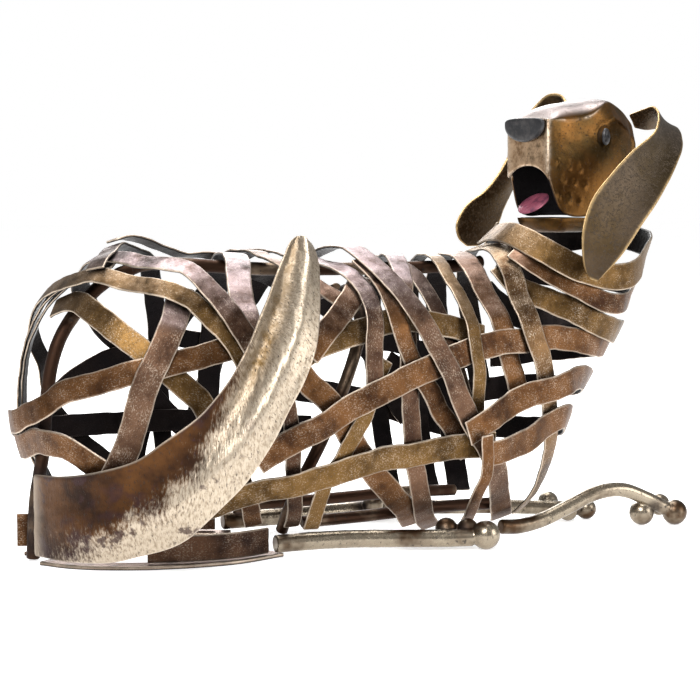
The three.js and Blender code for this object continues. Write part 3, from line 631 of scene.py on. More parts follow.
@dataclass(frozen=True)
class HeadPatina:
    """The head's folded sheet: olive-gold to orange-brown cheeks, a painted violet-grey sky reflection on faces that
    look up, and folds bright with a painted highlight and patches of wear.
    """

    olive: Colour = (0.062, 0.038, 0.014)
    amber: Colour = (0.145, 0.066, 0.018)
    rose: Colour = (0.50, 0.34, 0.21)
    # The painted sky reflection's colour, on faces that look up, mostly the crown.
    crown: Colour = (0.34, 0.295, 0.285)

    def material(self) -> bpy.types.Material:
        """Builds the material."""
        bench = Bench("head_patina")
        place = bench.place()
        clouds = bench.noise(place, 60.0, 4.0, 0.6)
        fine = bench.noise(place, 480.0, 4.0, 0.65)
        speck = bench.noise(place, 1300.0, 2.0, 0.5).ramp(0.62, 0.70)
        colour = bench.mix(clouds.ramp(0.34, 0.66), self.olive, self.amber)
        worn = bench.noise(place, 190.0, 4.0, 0.65).ramp(0.36, 0.60)
        colour = bench.mix((bench.mark("side") * (0.25 + worn * 0.75)).clip(), colour, self.rose)
        # Painted sky reflection: faces that look up are mixed towards a violet-grey.
        colour = bench.mix((bench.mark("sky").ramp(0.45, 0.9)) * 0.9, colour, self.crown)
        # Painted highlight on the folds and rims, in patches of wear.
        rim = ((bench.mark("edge") ** 1.6) * (0.1 + worn)).clip()
        colour = bench.mix(rim * 0.7, colour, WORN_PALE_AND_EDGE_HIGHLIGHT)
        colour = bench.mix(speck * 0.6, colour, PIT_BLACK)
        # Painted shade inside the hollow head, over its darker unpainted steel.
        inner_face_shade = bench.mark("inside").ramp(0.25, 0.75)
        colour = bench.mix(inner_face_shade * 0.97, colour, (0.012, 0.011, 0.013))
        rough = (0.27 + fine * 0.22 + speck * 0.2 + inner_face_shade * 0.3).clip()
        metal = 1 - speck * (1 - inner_face_shade) * 0.4
        return bench.finish(colour, rough, metal, fine * 0.6 - speck * 0.5, 0.00016)


@dataclass(frozen=True)
class EarPatina:
    """The ears' sheet: olive-bronze with fine dark speckle, browner towards the tip, and a painted gold highlight
    along the rim.
    """

    olive: Colour = (0.048, 0.034, 0.018)
    grey: Colour = (0.082, 0.064, 0.047)
    brown: Colour = (0.056, 0.032, 0.014)
    # The painted highlight's colour along the rim.
    rim: Colour = (0.50, 0.34, 0.16)

    def material(self) -> bpy.types.Material:
        """Builds the material."""
        bench = Bench("ear_patina")
        place = bench.place()
        clouds = bench.noise(place, 50.0, 4.0, 0.6)
        fine = bench.noise(place, 700.0, 3.0, 0.7)
        dark = bench.noise(place, 900.0, 2.0, 0.6).ramp(0.52, 0.64)
        colour = bench.mix(clouds.ramp(0.36, 0.64), self.olive, self.grey)
        colour = bench.mix((bench.mark("run") * 1.2 - 0.45 + (clouds - 0.5)).clip() * 0.75, colour,
            self.brown)
        colour = bench.mix(dark * 0.55, colour, (0.045, 0.030, 0.018))
        # Painted highlight along the rim.
        edge = (bench.mark("edge") ** 1.5) * 0.95
        colour = bench.mix(edge, colour, self.rim)
        # Painted shade on the inner face, over its darker unpainted steel.
        inner_face_shade = bench.mark("inside").ramp(0.25, 0.75)
        colour = bench.mix(inner_face_shade * 0.55, colour, (0.075, 0.045, 0.020))
        rough = (0.33 + fine * 0.22 + dark * 0.12 - edge * 0.1).clip()
        return bench.finish(colour, rough, 1 - dark * 0.3, fine * 0.6 - dark * 0.4, 0.00016)


@dataclass(frozen=True)
class RodPatina:
    """Round bar: polished where it is bare, browned by heat in clouds, and black round its welds."""

    name: str
    bare: Colour
    browned: Colour
    share: float
    welds: tuple[tuple[float, float, float], ...] = ()
    weld_radius: float = 6.0
    roughness: float = 0.25

    def material(self) -> bpy.types.Material:
        """Builds the material."""
        bench = Bench(self.name)
        place = bench.place()
        clouds = bench.noise(place, 48.0, 4.0, 0.6)
        fine = bench.noise(place, 520.0, 4.0, 0.65)
        dull = clouds.ramp(0.62 - self.share * 0.5, 0.78 - self.share * 0.35)
        colour = bench.mix(dull, self.bare, self.browned)
        pits = bench.noise(place, 620.0, 2.0, 0.5).ramp(0.64, 0.72)
        colour = bench.mix(pits * 0.7, colour, PIT_BLACK)
        rough = fine * 0.25 + self.roughness - 0.08 + dull * 0.10 + pits * 0.2
        metal = 1 - pits * 0.5
        height = fine * 0.5 - pits * 0.4
        if self.welds:
            burnt = (bench.near(self.welds, self.weld_radius) * (0.35 + fine * 1.1)).clip()
            colour = bench.mix(burnt * 0.9, colour, (0.030, 0.022, 0.020))
            rough = rough + burnt * 0.2
            height = height + burnt * bench.noise(place, 900.0, 2.0) * 0.8
        return bench.finish(colour, rough.clip(), metal, height, 0.00020)


@dataclass(frozen=True)
class Enamel:
    """Brushed-on enamel, thin enough to show brush marks and a little bare steel."""

    name: str
    colour: Colour
    second: Colour
    roughness: float = 0.32

    def material(self) -> bpy.types.Material:
        """Builds the material."""
        bench = Bench(self.name)
        place = bench.place()
        marks = bench.noise(place, 330.0, 4.0, 0.6)
        fine = bench.noise(place, 1100.0, 2.0, 0.5)
        colour = bench.mix(marks.ramp(0.44, 0.68), self.colour, self.second)
        rough = (marks * 0.2 + fine * 0.12 + self.roughness - 0.12).clip()
        return bench.finish(colour, rough, 0.25, marks * 0.7 + fine * 0.4, 0.00018)


# ---- the body's form and its straps ----

@dataclass
class Form:
    """The shape the straps are bent over, as frames from the rump to the neck: the top point's x and z, the bottom
    point's x and z, and the half width."""

    squareness: float = 2.25
    frames: Array = field(default_factory=lambda: np.array([
        (-3, 60, -3, 60, 0), (49, 118, 49, 3, 48), (98, 114, 98, 2, 50), (146, 114, 156, 4, 45),
        (174, 114, 200, 8, 39.5),
        (189, 116, 224, 48, 34.5), (196, 120, 243, 78, 31.5), (200, 126, 260, 112, 29.5),
        (203, 136, 267, 137, 29.5)], float))

    def at(self, station: Array, clock: Array) -> Array:
        """Points of the form. Each frame is a superellipse; before the first full frame a quarter ellipse closes it.

        Args:
            station: Which frame, counted from the rump's pole.
            clock: Degrees round from the top over the hound's right.

        Returns:
            The points.
        """
        station, clock = np.broadcast_arrays(np.asarray(station, float), np.asarray(clock, float))
        full = smooth(self.frames[1:], np.maximum(station, 1).reshape(-1) - 1)
        turn = np.clip(station, 0, 1).reshape(-1, 1) * math.pi / 2
        share = np.where(np.array([True, False, True, False, False]), 1 - np.cos(turn), np.sin(turn))
        cap = self.frames[0] + (self.frames[1] - self.frames[0]) * share
        top_x, top_z, low_x, low_z, half = np.where(station.reshape(-1, 1) < 1, cap, full).T
        angle = np.radians(clock).reshape(-1)
        across = signed_power(np.sin(angle), 2 / self.squareness)
        up = signed_power(np.cos(angle), 2 / self.squareness)
        return np.stack([(top_x + low_x) / 2 + (top_x - low_x) / 2 * up, -half * across,
                         (top_z + low_z) / 2 + (top_z - low_z) / 2 * up], axis=-1)

    def normal(self, station: Array, clock: Array) -> Array:
        """Outward directions square to the form, from two short steps along it."""
        step = 0.02
        ahead = self.at(station + step, clock) - self.at(np.maximum(station - step, step), clock)
        around = self.at(station, clock + 1) - self.at(station, clock - 1)
        return unit(np.cross(around, ahead))

    def off(self, station: Array, clock: Array, lift: float) -> Array:
        """Points at a height off the form."""
        return self.at(station, clock) + self.normal(station, clock) * lift


# ---- the woven body ----

StrapRow = tuple[str, float, Tone, tuple[tuple[float, float], ...]]

# Each strap: name, width, heat colour, and its route over the form as station and clock angle. They are
# laid on in
# this order, and each one rides up over those already there, so the order is the weave.
STRAPS: tuple[StrapRow, ...] = (
    ("rear_hoop_inner", 7, Tone.UMBER,
    ((0.75, 12), (0.45, -18), (0.3, -60), (0.3, -105), (0.5, -142), (0.75, -160))),
    ("rear_hoop_outer", 8, Tone.COPPER,
    ((0.62, 14), (0.5, -10), (0.38, -45), (0.27, -90), (0.25, -135), (0.36, -168),
                                         (0.52, -176))),
    ("rump_band_low", 10, Tone.COPPER,
    ((1.15, 130), (0.85, 123), (0.55, 117), (0.34, 115), (0.19, 138), (0.17, 180),
                                        (0.26, 230), (0.5, 262), (1, 280), (1.5, 284))),
    ("rump_band_slant", 9, Tone.OLIVE,
    ((0.42, 4), (0.5, 20), (0.59, 46), (0.74, 67), (0.95, 84), (1.2, 96), (1.5, 104))),
    ("rump_band_middle", 9, Tone.COPPER,
    ((1.75, 62), (1.3, 69), (0.9, 75), (0.55, 79), (0.28, 84), (0.08, 120),
                                          (0.1, 225), (0.32, 250), (0.7, 256), (1.2, 258), (1.9, 258),
                                          (2.6, 254))),
    ("back_strap_rear", 10, Tone.VIOLET,
    ((1.4, 78), (1.42, 57), (1.45, 38), (1.62, 0), (1.75, -40), (1.8, -80),
                                          (1.75, -120), (1.8, -140))),
    ("rump_strap_steep", 10, Tone.VIOLET,
    ((0.98, 43), (0.93, 56), (0.86, 68), (0.78, 80), (0.7, 98), (0.64, 116),
                                           (0.62, 128))),
    ("rump_band_high", 8, Tone.OLIVE, ((1.45, 84), (1.27, 67), (1.02, 53), (0.84, 41), (0.68, 26), (0.52, 2),
                                       (0.46, -40), (0.55, -80), (0.8, -110), (1.15, -135))),
    ("rump_band_top", 8.5, Tone.VIOLET, ((1.6, 84), (1.38, 67), (1.17, 49), (0.99, 35), (0.86, 24), (0.74, 4),
                                         (0.7, -30), (0.85, -62), (1.15, -85), (1.6, -105), (2.1, -122))),
    ("far_rump_arch", 8, Tone.UMBER,
    ((0.66, 20), (0.82, -4), (1.1, -30), (1.3, -65), (1.4, -105), (1.35, -145))),
    ("far_top_band", 7, Tone.COPPER,
    ((0.82, -4), (1.05, -13), (1.35, -17), (1.7, -22), (2.1, -34), (2.6, -52),
                                      (3.1, -75), (3.5, -105))),
    ("flank_stub_low", 7, Tone.COPPER, ((1.35, 112), (1.45, 124), (1.56, 140))),
    ("flank_stub_upright", 6, Tone.UMBER, ((1.65, 86), (1.73, 98), (1.78, 112), (1.84, 128), (1.88, 142))),
    ("flank_brace_forward", 9.5, Tone.COPPER,
    ((1.7, 70), (1.88, 81), (2.05, 88), (2.2, 98), (2.43, 116), (2.7, 136),
                                               (2.85, 153))),
    ("flank_brace_back", 6.5, Tone.OLIVE,
    ((2.5, 74), (2.35, 88), (2.23, 97), (2.13, 107), (2.04, 120), (2.02, 142))),
    ("far_flank_band_upper", 8, Tone.UMBER, ((1.3, -72), (2.1, -74), (3, -74), (3.9, -80), (4.6, -96))),
    ("shoulder_stub", 7, Tone.UMBER, ((2.9, 18), (3.01, 32), (3.07, 50), (3.13, 65), (3.15, 77), (3.22, 92))),
    ("shoulder_hoop_rear", 8, Tone.VIOLET,
    ((3, 155), (2.87, 142), (2.73, 116), (2.68, 96), (2.7, 70), (2.8, 42),
                                            (2.98, 4), (3.15, -35), (3.25, -80), (3.2, -120), (3.1, -152))),
    ("back_patch_under", 8, Tone.COPPER, ((1.7, -48), (1.85, 0), (1.98, 24), (2.12, 38), (2.25, 46))),
    ("flank_band_upper", 10, Tone.OLIVE,
    ((1.75, 74), (2, 67), (2.35, 61), (2.65, 58), (2.95, 60), (3.3, 64), (3.6, 67))),
    ("back_patch_over", 9, Tone.COPPER, ((2.48, 32), (2.38, 42), (2.22, 53), (2.02, 63), (1.85, 72))),
    ("back_strap_diagonal", 7.5, Tone.VIOLET,
    ((1.1, -120), (1.4, -85), (1.75, -45), (2.1, -10), (2.3, 24), (2.42, 42),
                                               (2.44, 56), (2.41, 68), (2.38, 86))),
    ("shoulder_brace", 8, Tone.COPPER,
    ((2.48, 27), (2.57, 44), (2.63, 66), (2.8, 84), (3.05, 99), (3.2, 110))),
    ("chest_hoop_rear", 9.5, Tone.COPPER,
    ((3.96, 92), (3.93, 76), (3.93, 58), (3.95, 36), (4.1, 4), (4.2, -30),
                                           (4.2, -75), (4, -115), (3.8, -146))),
    ("belly_band_upper", 10, Tone.COPPER,
    ((1.45, 106), (1.68, 98), (1.97, 93), (2.35, 86), (2.85, 78), (3.4, 72),
                                           (3.97, 71), (4.63, 81), (5.35, 104), (5.8, 140), (5.9, 180),
                                           (5.55, 225),
                                           (4.9, 255))),
    ("neck_band_lower", 10, Tone.OLIVE,
    ((4.5, 34), (4.7, 52), (5.18, 73), (5.65, 97), (5.95, 130), (6.15, 175),
                                         (6, 225), (5.6, 262), (5.4, 285))),
    ("chest_hoop_front", 9, Tone.CREAM,
    ((3.95, 160), (4.18, 140), (4.37, 118), (4.4, 100), (4.35, 80), (4.46, 58),
                                         (4.68, 40), (4.95, 20), (5.1, -8), (5.08, -45), (4.9, -80),
                                         (4.6, -108))),
    ("shoulder_hoop_front", 6, Tone.OLIVE,
    ((3.28, 106), (3.31, 90), (3.35, 72), (3.4, 54), (3.47, 28), (3.62, -2),
                                            (3.75, -45), (3.75, -90), (3.6, -125), (3.55, -140))),
    ("belly_band_lower", 10, Tone.OLIVE,
    ((1.1, 128), (1.43, 120), (1.83, 115), (2.25, 109), (2.7, 107), (3.1, 106),
                                          (3.45, 105))),
    ("long_diagonal", 9, Tone.VIOLET, ((1.5, -128), (1.8, -88), (2.1, -48), (2.4, -4), (2.5, 24), (2.62, 42),
                                       (2.76, 57), (2.92, 74), (3.1, 91), (3.3, 104), (3.46, 116), (3.6, 136),
                                       (3.72, 156))),
    ("chest_band_middle", 10, Tone.COPPER,
    ((3.1, 100), (3.55, 93), (4.07, 91), (4.67, 103), (5.1, 122), (5.35, 160),
                                            (5.2, 205), (4.75, 240), (4.1, 262), (3.4, 276))),
    ("chest_band_lower", 10, Tone.COPPER,
    ((3.3, 107), (3.8, 105), (4.25, 108), (4.65, 124), (4.85, 160), (4.75, 200),
                                           (4.4, 235), (3.9, 252), (3.2, 262), (2.4, 270))),
    ("neck_band_middle", 8.5, Tone.COPPER,
    ((5.08, 34), (5.25, 45), (5.55, 60), (5.85, 82), (6.1, 105), (6.45, 140),
                                            (6.65, 180), (6.6, 225), (6.4, 262), (6.2, 290))),
    ("neck_collar", 11, Tone.OLIVE, ((5.85, -4), (5.92, 30), (6.08, 62), (6.32, 88), (6.62, 112), (7, 140),
                                     (7.25, 175), (7.3, 215), (7.1, 255), (6.8, 295), (6.55, 335))),
    ("chest_brace_low", 5.5, Tone.COPPER, ((3.25, 100), (3.25, 114), (3.21, 128), (3.27, 152))),
)


@dataclass
class LaidStrap:
    """A strap where it lies on the form, sampled at an even pitch."""

    width: float
    pitch: float
    place: Array
    normal: Array
    along: Array
    side: Array
    height: Array


@dataclass
class WovenBody:
    """The straps that make the rump, flanks, chest and neck, laid one by one over the form."""

    form: Form
    layer_step: float = 1.8
    lay_slope: float = 0.25
    lay_pitch: float = 2.5
    lap_margin: float = 1.5
    reach: float = 15.0
    finer: int = 3
    section: StrapSection = StrapSection()

    def walk(self, width: float, route: tuple[tuple[float, float], ...]) -> LaidStrap:
        """Samples a route at an even pitch.

        Args:
            width: The strap's width.
            route: Its station and clock angle rows.

        Returns:
            The strap, not yet lifted over anything.
        """
        last = len(route) - 1
        station, clock = smooth(np.array(route, float), np.linspace(0, last, 24 * last + 1)).T
        station = np.maximum(station, 0.03)
        dense = self.form.at(station, clock)
        run = np.concatenate([[0], np.cumsum(np.linalg.norm(np.diff(dense, axis=0), axis=1))])
        count = max(4, round(run[-1] / self.lay_pitch))
        target = np.linspace(0, run[-1], count + 1)
        station, clock = np.interp(target, run, station), np.interp(target, run, clock)
        place, normal = self.form.at(station, clock), self.form.normal(station, clock)
        step = np.concatenate([place[1:], place[-1:]]) - np.concatenate([place[:1], place[:-1]])
        ahead = unit(step - normal * (step * normal).sum(1, keepdims=True))
        return LaidStrap(width, run[-1] / count, place, normal, ahead, np.cross(ahead, normal),
            np.zeros(count + 1))

    def built_up(self, place: Array, normal: Array, laid: list[LaidStrap]) -> Array:
        """How high places are already built up: the top of the highest laid strap whose footprint covers each.

        Args:
            place: The places.
            normal: The form's normals there.
            laid: The straps laid so far.

        Returns:
            A height for each place.
        """
        top = np.zeros(len(place))
        for strap in laid:
            off = place[:, None] - strap.place
            covered = (off**2).sum(-1) <= self.reach**2
            covered &= normal @ strap.normal.T >= 0.3
            covered &= np.abs((off * strap.side).sum(-1)) < strap.width / 2 + self.lap_margin
            covered &= np.abs((off * strap.along).sum(-1)) < strap.pitch + self.lap_margin
            top = np.maximum(top, np.where(covered, strap.height + self.layer_step, 0).max(1))
        return top

    def lay(self) -> list[LaidStrap]:
        """Lays the straps in order: each is lifted over what it crosses, comes down again at the lay slope, and its
        heights are then averaged with their neighbours'."""
        laid: list[LaidStrap] = []
        for _, width, _, route in STRAPS:
            strap = self.walk(width, route)
            needed = np.max([self.built_up(strap.place + strap.side * share * width, strap.normal, laid)
                             for share in (-0.5, -0.25, 0, 0.25, 0.5)], axis=0)
            wide = np.maximum(needed, np.maximum(np.append(needed[1:], 0), np.append(0, needed[:-1])))
            apart = np.abs(np.subtract.outer(np.arange(len(wide)), np.arange(len(wide))))
            tent = (wide - self.lay_slope * strap.pitch * apart).max(1)
            strap.height = (np.append(tent[:1], tent[:-1]) + 2 * tent + np.append(tent[1:], tent[-1:])) / 4
            laid.append(strap)
        return laid

    def skin(self, strap: LaidStrap, seed: int) -> Skin:
        """A strap's skin: its section carried along finer samples, with the small waves and twists of hand bending.

        Args:
            strap: Where the strap lies.
            seed: Which waves.

        Returns:
            The closed skin.
        """
        rows = np.column_stack([strap.place, strap.normal, strap.side, strap.height])
        fine = smooth(rows, np.linspace(0, len(rows) - 1, (len(rows) - 1) * self.finer + 1))
        place, normal, side, height = fine[:, :3], unit(fine[:, 3:6]), unit(fine[:, 6:9]), fine[:, 9:]
        run = np.arange(len(fine)) * strap.pitch / self.finer
        width = strap.width * (1 + 0.018 * wander(run, seed, 31))
        twist = 0.030 * wander(run, seed + 0.4, 43)[:, None]
        across, up = side + normal * twist, normal - side * twist
        path = place + normal * (height + 0.12 * wander(run, seed + 0.7, 19)[:, None])
        path += side * 0.22 * wander(run, seed + 0.2, 37)[:, None]
        skin = sweep(path, across, up, self.section.profile(width))
        skin.points = eased_ends(skin.points, 0.25)
        skin.strip = ring_strip(skin.points) + np.array([seed * 3.7, seed * 1.9])
        skin.edge, skin.inside = self.section.edge(), self.section.inside()
        skin.edge = np.broadcast_to(skin.edge, skin.points.shape[:2]).copy()
        skin.edge[:2] = skin.edge[-2:] = 1
        return skin

    def build(self) -> None:
        """Makes every strap."""
        finishes = {tone: StrapPatina(tone).material() for tone in Tone}
        for seed, ((name, _, tone, _), strap) in enumerate(zip(STRAPS, self.lay())):
            make_piece(f"{name}_steel", [self.skin(strap, seed + 1)], [name], finishes[tone])
            log.info("strap %s", name)


# ---- leaves of sheet ----

@dataclass
class Leaf:
    """A leaf of sheet between two edges: straight across from one to the other, plus a bow, with rounded rims."""

    first: Array
    second: Array
    thick: float
    outside: float
    bow: Callable[[Array, Array], Array]
    rows: int = 120
    half: int = 40

    def base(self, u: Array, v: Array) -> Array:
        """Points straight across between the edges, without the bow."""
        a = smooth(self.first, u.reshape(-1) * (len(self.first) - 1)).reshape(*u.shape, 3)
        b = smooth(self.second, u.reshape(-1) * (len(self.second) - 1)).reshape(*u.shape, 3)
        return a + (b - a) * v[..., None]

    def skin(self) -> Skin:
        """The closed skin: point = base + normal x (bow + thickness x (half more or less half of the rim's round))."""
        v = (1 - np.cos(np.linspace(0, math.pi, self.half))) / 2
        u, v = np.meshgrid(np.linspace(0, 1, self.rows), v, indexing="ij")
        ahead = self.base(np.minimum(u + 0.01, 1), v) - self.base(np.maximum(u - 0.01, 0), v)
        normal = unit(np.cross(ahead, self.base(u, v * 0 + 1) - self.base(u, v * 0))) * self.outside
        round_rim = np.sqrt(np.maximum(1 - np.abs(2 * v - 1) ** 24, 0))
        middle = self.base(u, v) + normal * (self.bow(u, v) + self.thick / 2)[..., None]
        lift = normal * (self.thick / 2 * round_rim)[..., None]
        points = np.concatenate([middle + lift, (middle - lift)[:, ::-1]], axis=1)
        span = np.linalg.norm(self.second - self.first,
            axis=1).mean() if len(self.first) == len(self.second) else 40.0
        # rim: nearness to the leaf's rims, where the finishes paint a highlight.
        rim = 1 - np.minimum(np.minimum(v, 1 - v) * span, 30 * np.minimum(u, 1 - u) + 0.2) / 1.1
        rim = np.clip(rim, 0, 1)
        skin = Skin(eased_ends(points, 0.2), np.zeros(0))
        skin.strip = ring_strip(skin.points)
        both = np.concatenate([u, u[:, ::-1]], axis=1)
        grow = lambda grid: np.concatenate([grid[:1], grid, grid[-1:]])
        skin.run = grow(both)
        skin.side = grow(np.concatenate([v, v[:, ::-1]], axis=1))
        skin.edge = grow(np.concatenate([rim, rim[:, ::-1]], axis=1))
        skin.inside = grow(np.concatenate([np.zeros_like(v), np.where(rim > 0.5, 0, 1.0)[:, ::-1]], axis=1))
        return skin


TAIL_UPPER_EDGE = np.array([
    (-0.5, -4, 33.5), (4.5, -26, 35.5), (13, -43, 39), (24, -54, 44), (32, -60, 51), (43, -63, 59),
    (49, -64, 65),
    (55, -64, 72), (60, -63, 79), (64.5, -61.5, 86), (68.5, -59, 93), (73, -56, 100), (78, -51, 107.5),
    (84, -44.5, 115), (88.5, -39.5, 120), (92.5, -37, 122.6)])
TAIL_LOWER_EDGE = np.array([
    (-0.5, -4, 2.4), (6.5, -24, 3), (17, -40, 4.5), (26, -48, 7.5), (35.5, -55, 11), (41.5, -60, 15),
    (46.5, -64, 20.5), (52.5, -68, 27.5), (60.5, -71, 36.5), (69.5, -73, 50), (75.5, -73, 61),
    (82, -72, 71.5),
    (87.5, -69, 82.5), (91, -64, 93), (94, -57, 104), (97, -48, 113), (97.3, -41.5, 119), (95, -37.6, 122.2)])


@dataclass
class Tail:
    """The tail: one big leaf of sheet from the rump's foot up over the near haunch, with a high round ridge."""

    thick: float = 1.4
    height: float = 4.5

    def bow(self, u: Array, v: Array) -> Array:
        """A bell-shaped ridge at two thirds across, a low lip at the upper edge, fading at the root and tip, and
        the shallow waves of hammering."""
        fade = np.sin(math.pi * np.minimum(1, u / 0.35) / 2) * np.sqrt(1 - u**6)
        ridge = np.exp(-(((v - 0.64) / 0.24) ** 2)) + 0.25 * np.exp(-((v / 0.12) ** 2))
        hammered = 0.22 * wander(u * 150 + v * 12, 3.1, 17) * wander(v * 32 + u * 20, 1.3, 12)
        return self.height * fade * ridge + hammered * np.sin(math.pi * v)

    def build(self) -> None:
        """Makes the tail."""
        leaf = Leaf(TAIL_UPPER_EDGE, TAIL_LOWER_EDGE, self.thick, -1, self.bow, 220, 56)
        make_piece("tail_leaf", [leaf.skin()], ["tail"], TailPatina().material())
        log.info("tail")


# ---- the head ----

@dataclass(frozen=True)
class HeadFrame:
    """The head's own frame: back from the face plate, sideways to the near cheek, and height."""

    face: tuple[float, float, float] = (210.5, -1.0, 0.0)
    heading: tuple[float, float, float] = (0.975, 0.22, 0.0)

    def place(self, rows: Array) -> Array:
        """Carries places in the head's frame to the maker's."""
        rows = np.asarray(rows, float)
        back = unit(np.array(self.heading))
        near = np.array([back[1], -back[0], 0])
        return np.array(self.face) + rows[..., :1] * back + rows[..., 1:2] * near + rows[...,
            2:] * np.array([0, 0, 1.0])


SKULL_ROWS = np.array([
    (0, 12.5, 12.4, 146, 169.3, 169.8), (5, 14, 13.4, 132.8, 168.8, 173.6),
    (11, 15.2, 14.2, 129.3, 168.4, 175.8),
    (19, 16.6, 15.4, 129.3, 170, 177), (25, 17.2, 15.4, 129.3, 173.6, 178),
    (31, 17.2, 13.4, 129.3, 176.8, 178.4),
    (37, 16.6, 13.4, 129.3, 174, 176.8), (42, 15.4, 13, 131, 170.5, 173), (46.2, 13.6, 11.6, 136, 165.5, 168),
    (46.5, 0.02, 0.02, 139, 162, 165)])
NEAR_EAR_INNER = np.array([
    (41, 15.2, 171.5), (41, 24, 173.5), (40, 30, 174), (38, 35, 171), (33, 38, 164), (20, 39, 156),
    (8, 40, 147),
    (-3, 41, 137), (-9, 42, 125), (-8.5, 42, 112), (-5, 42, 105.5)])
NEAR_EAR_OUTER = np.array([
    (45, 14.6, 166), (48, 19, 165), (54, 23, 166), (54.5, 30, 165), (50, 37, 158), (41, 42, 148.5),
    (30, 45, 137),
    (19, 46, 126), (9, 46, 115), (1, 44.5, 107.5), (-2, 43, 104.5)])
FAR_EAR_INNER = np.array([
    (33.2, -16.6, 177.3), (34.8, -22, 180.6), (34, -27.6, 181.1), (32.3, -32.2, 178.2), (28, -35, 171.7),
    (23, -36, 162), (17, -37, 151), (9, -38, 141), (-2, -38.5, 134), (-7.5, -38.8, 126.5), (-6.5, -38.8, 120),
    (-1.5, -39, 116.2)])
FAR_EAR_OUTER = np.array([
    (35.7, -15.6, 173.5), (40.8, -17.5, 172.6), (45.9, -21.2, 173.5), (46.3, -27.6, 172.6), (42.5, -34, 166),
    (38, -37.5, 158), (31, -39, 149), (25, -40, 140), (20, -40, 132), (16.5, -40, 125), (11, -39.8, 119),
    (5, -39.5, 116.2)])


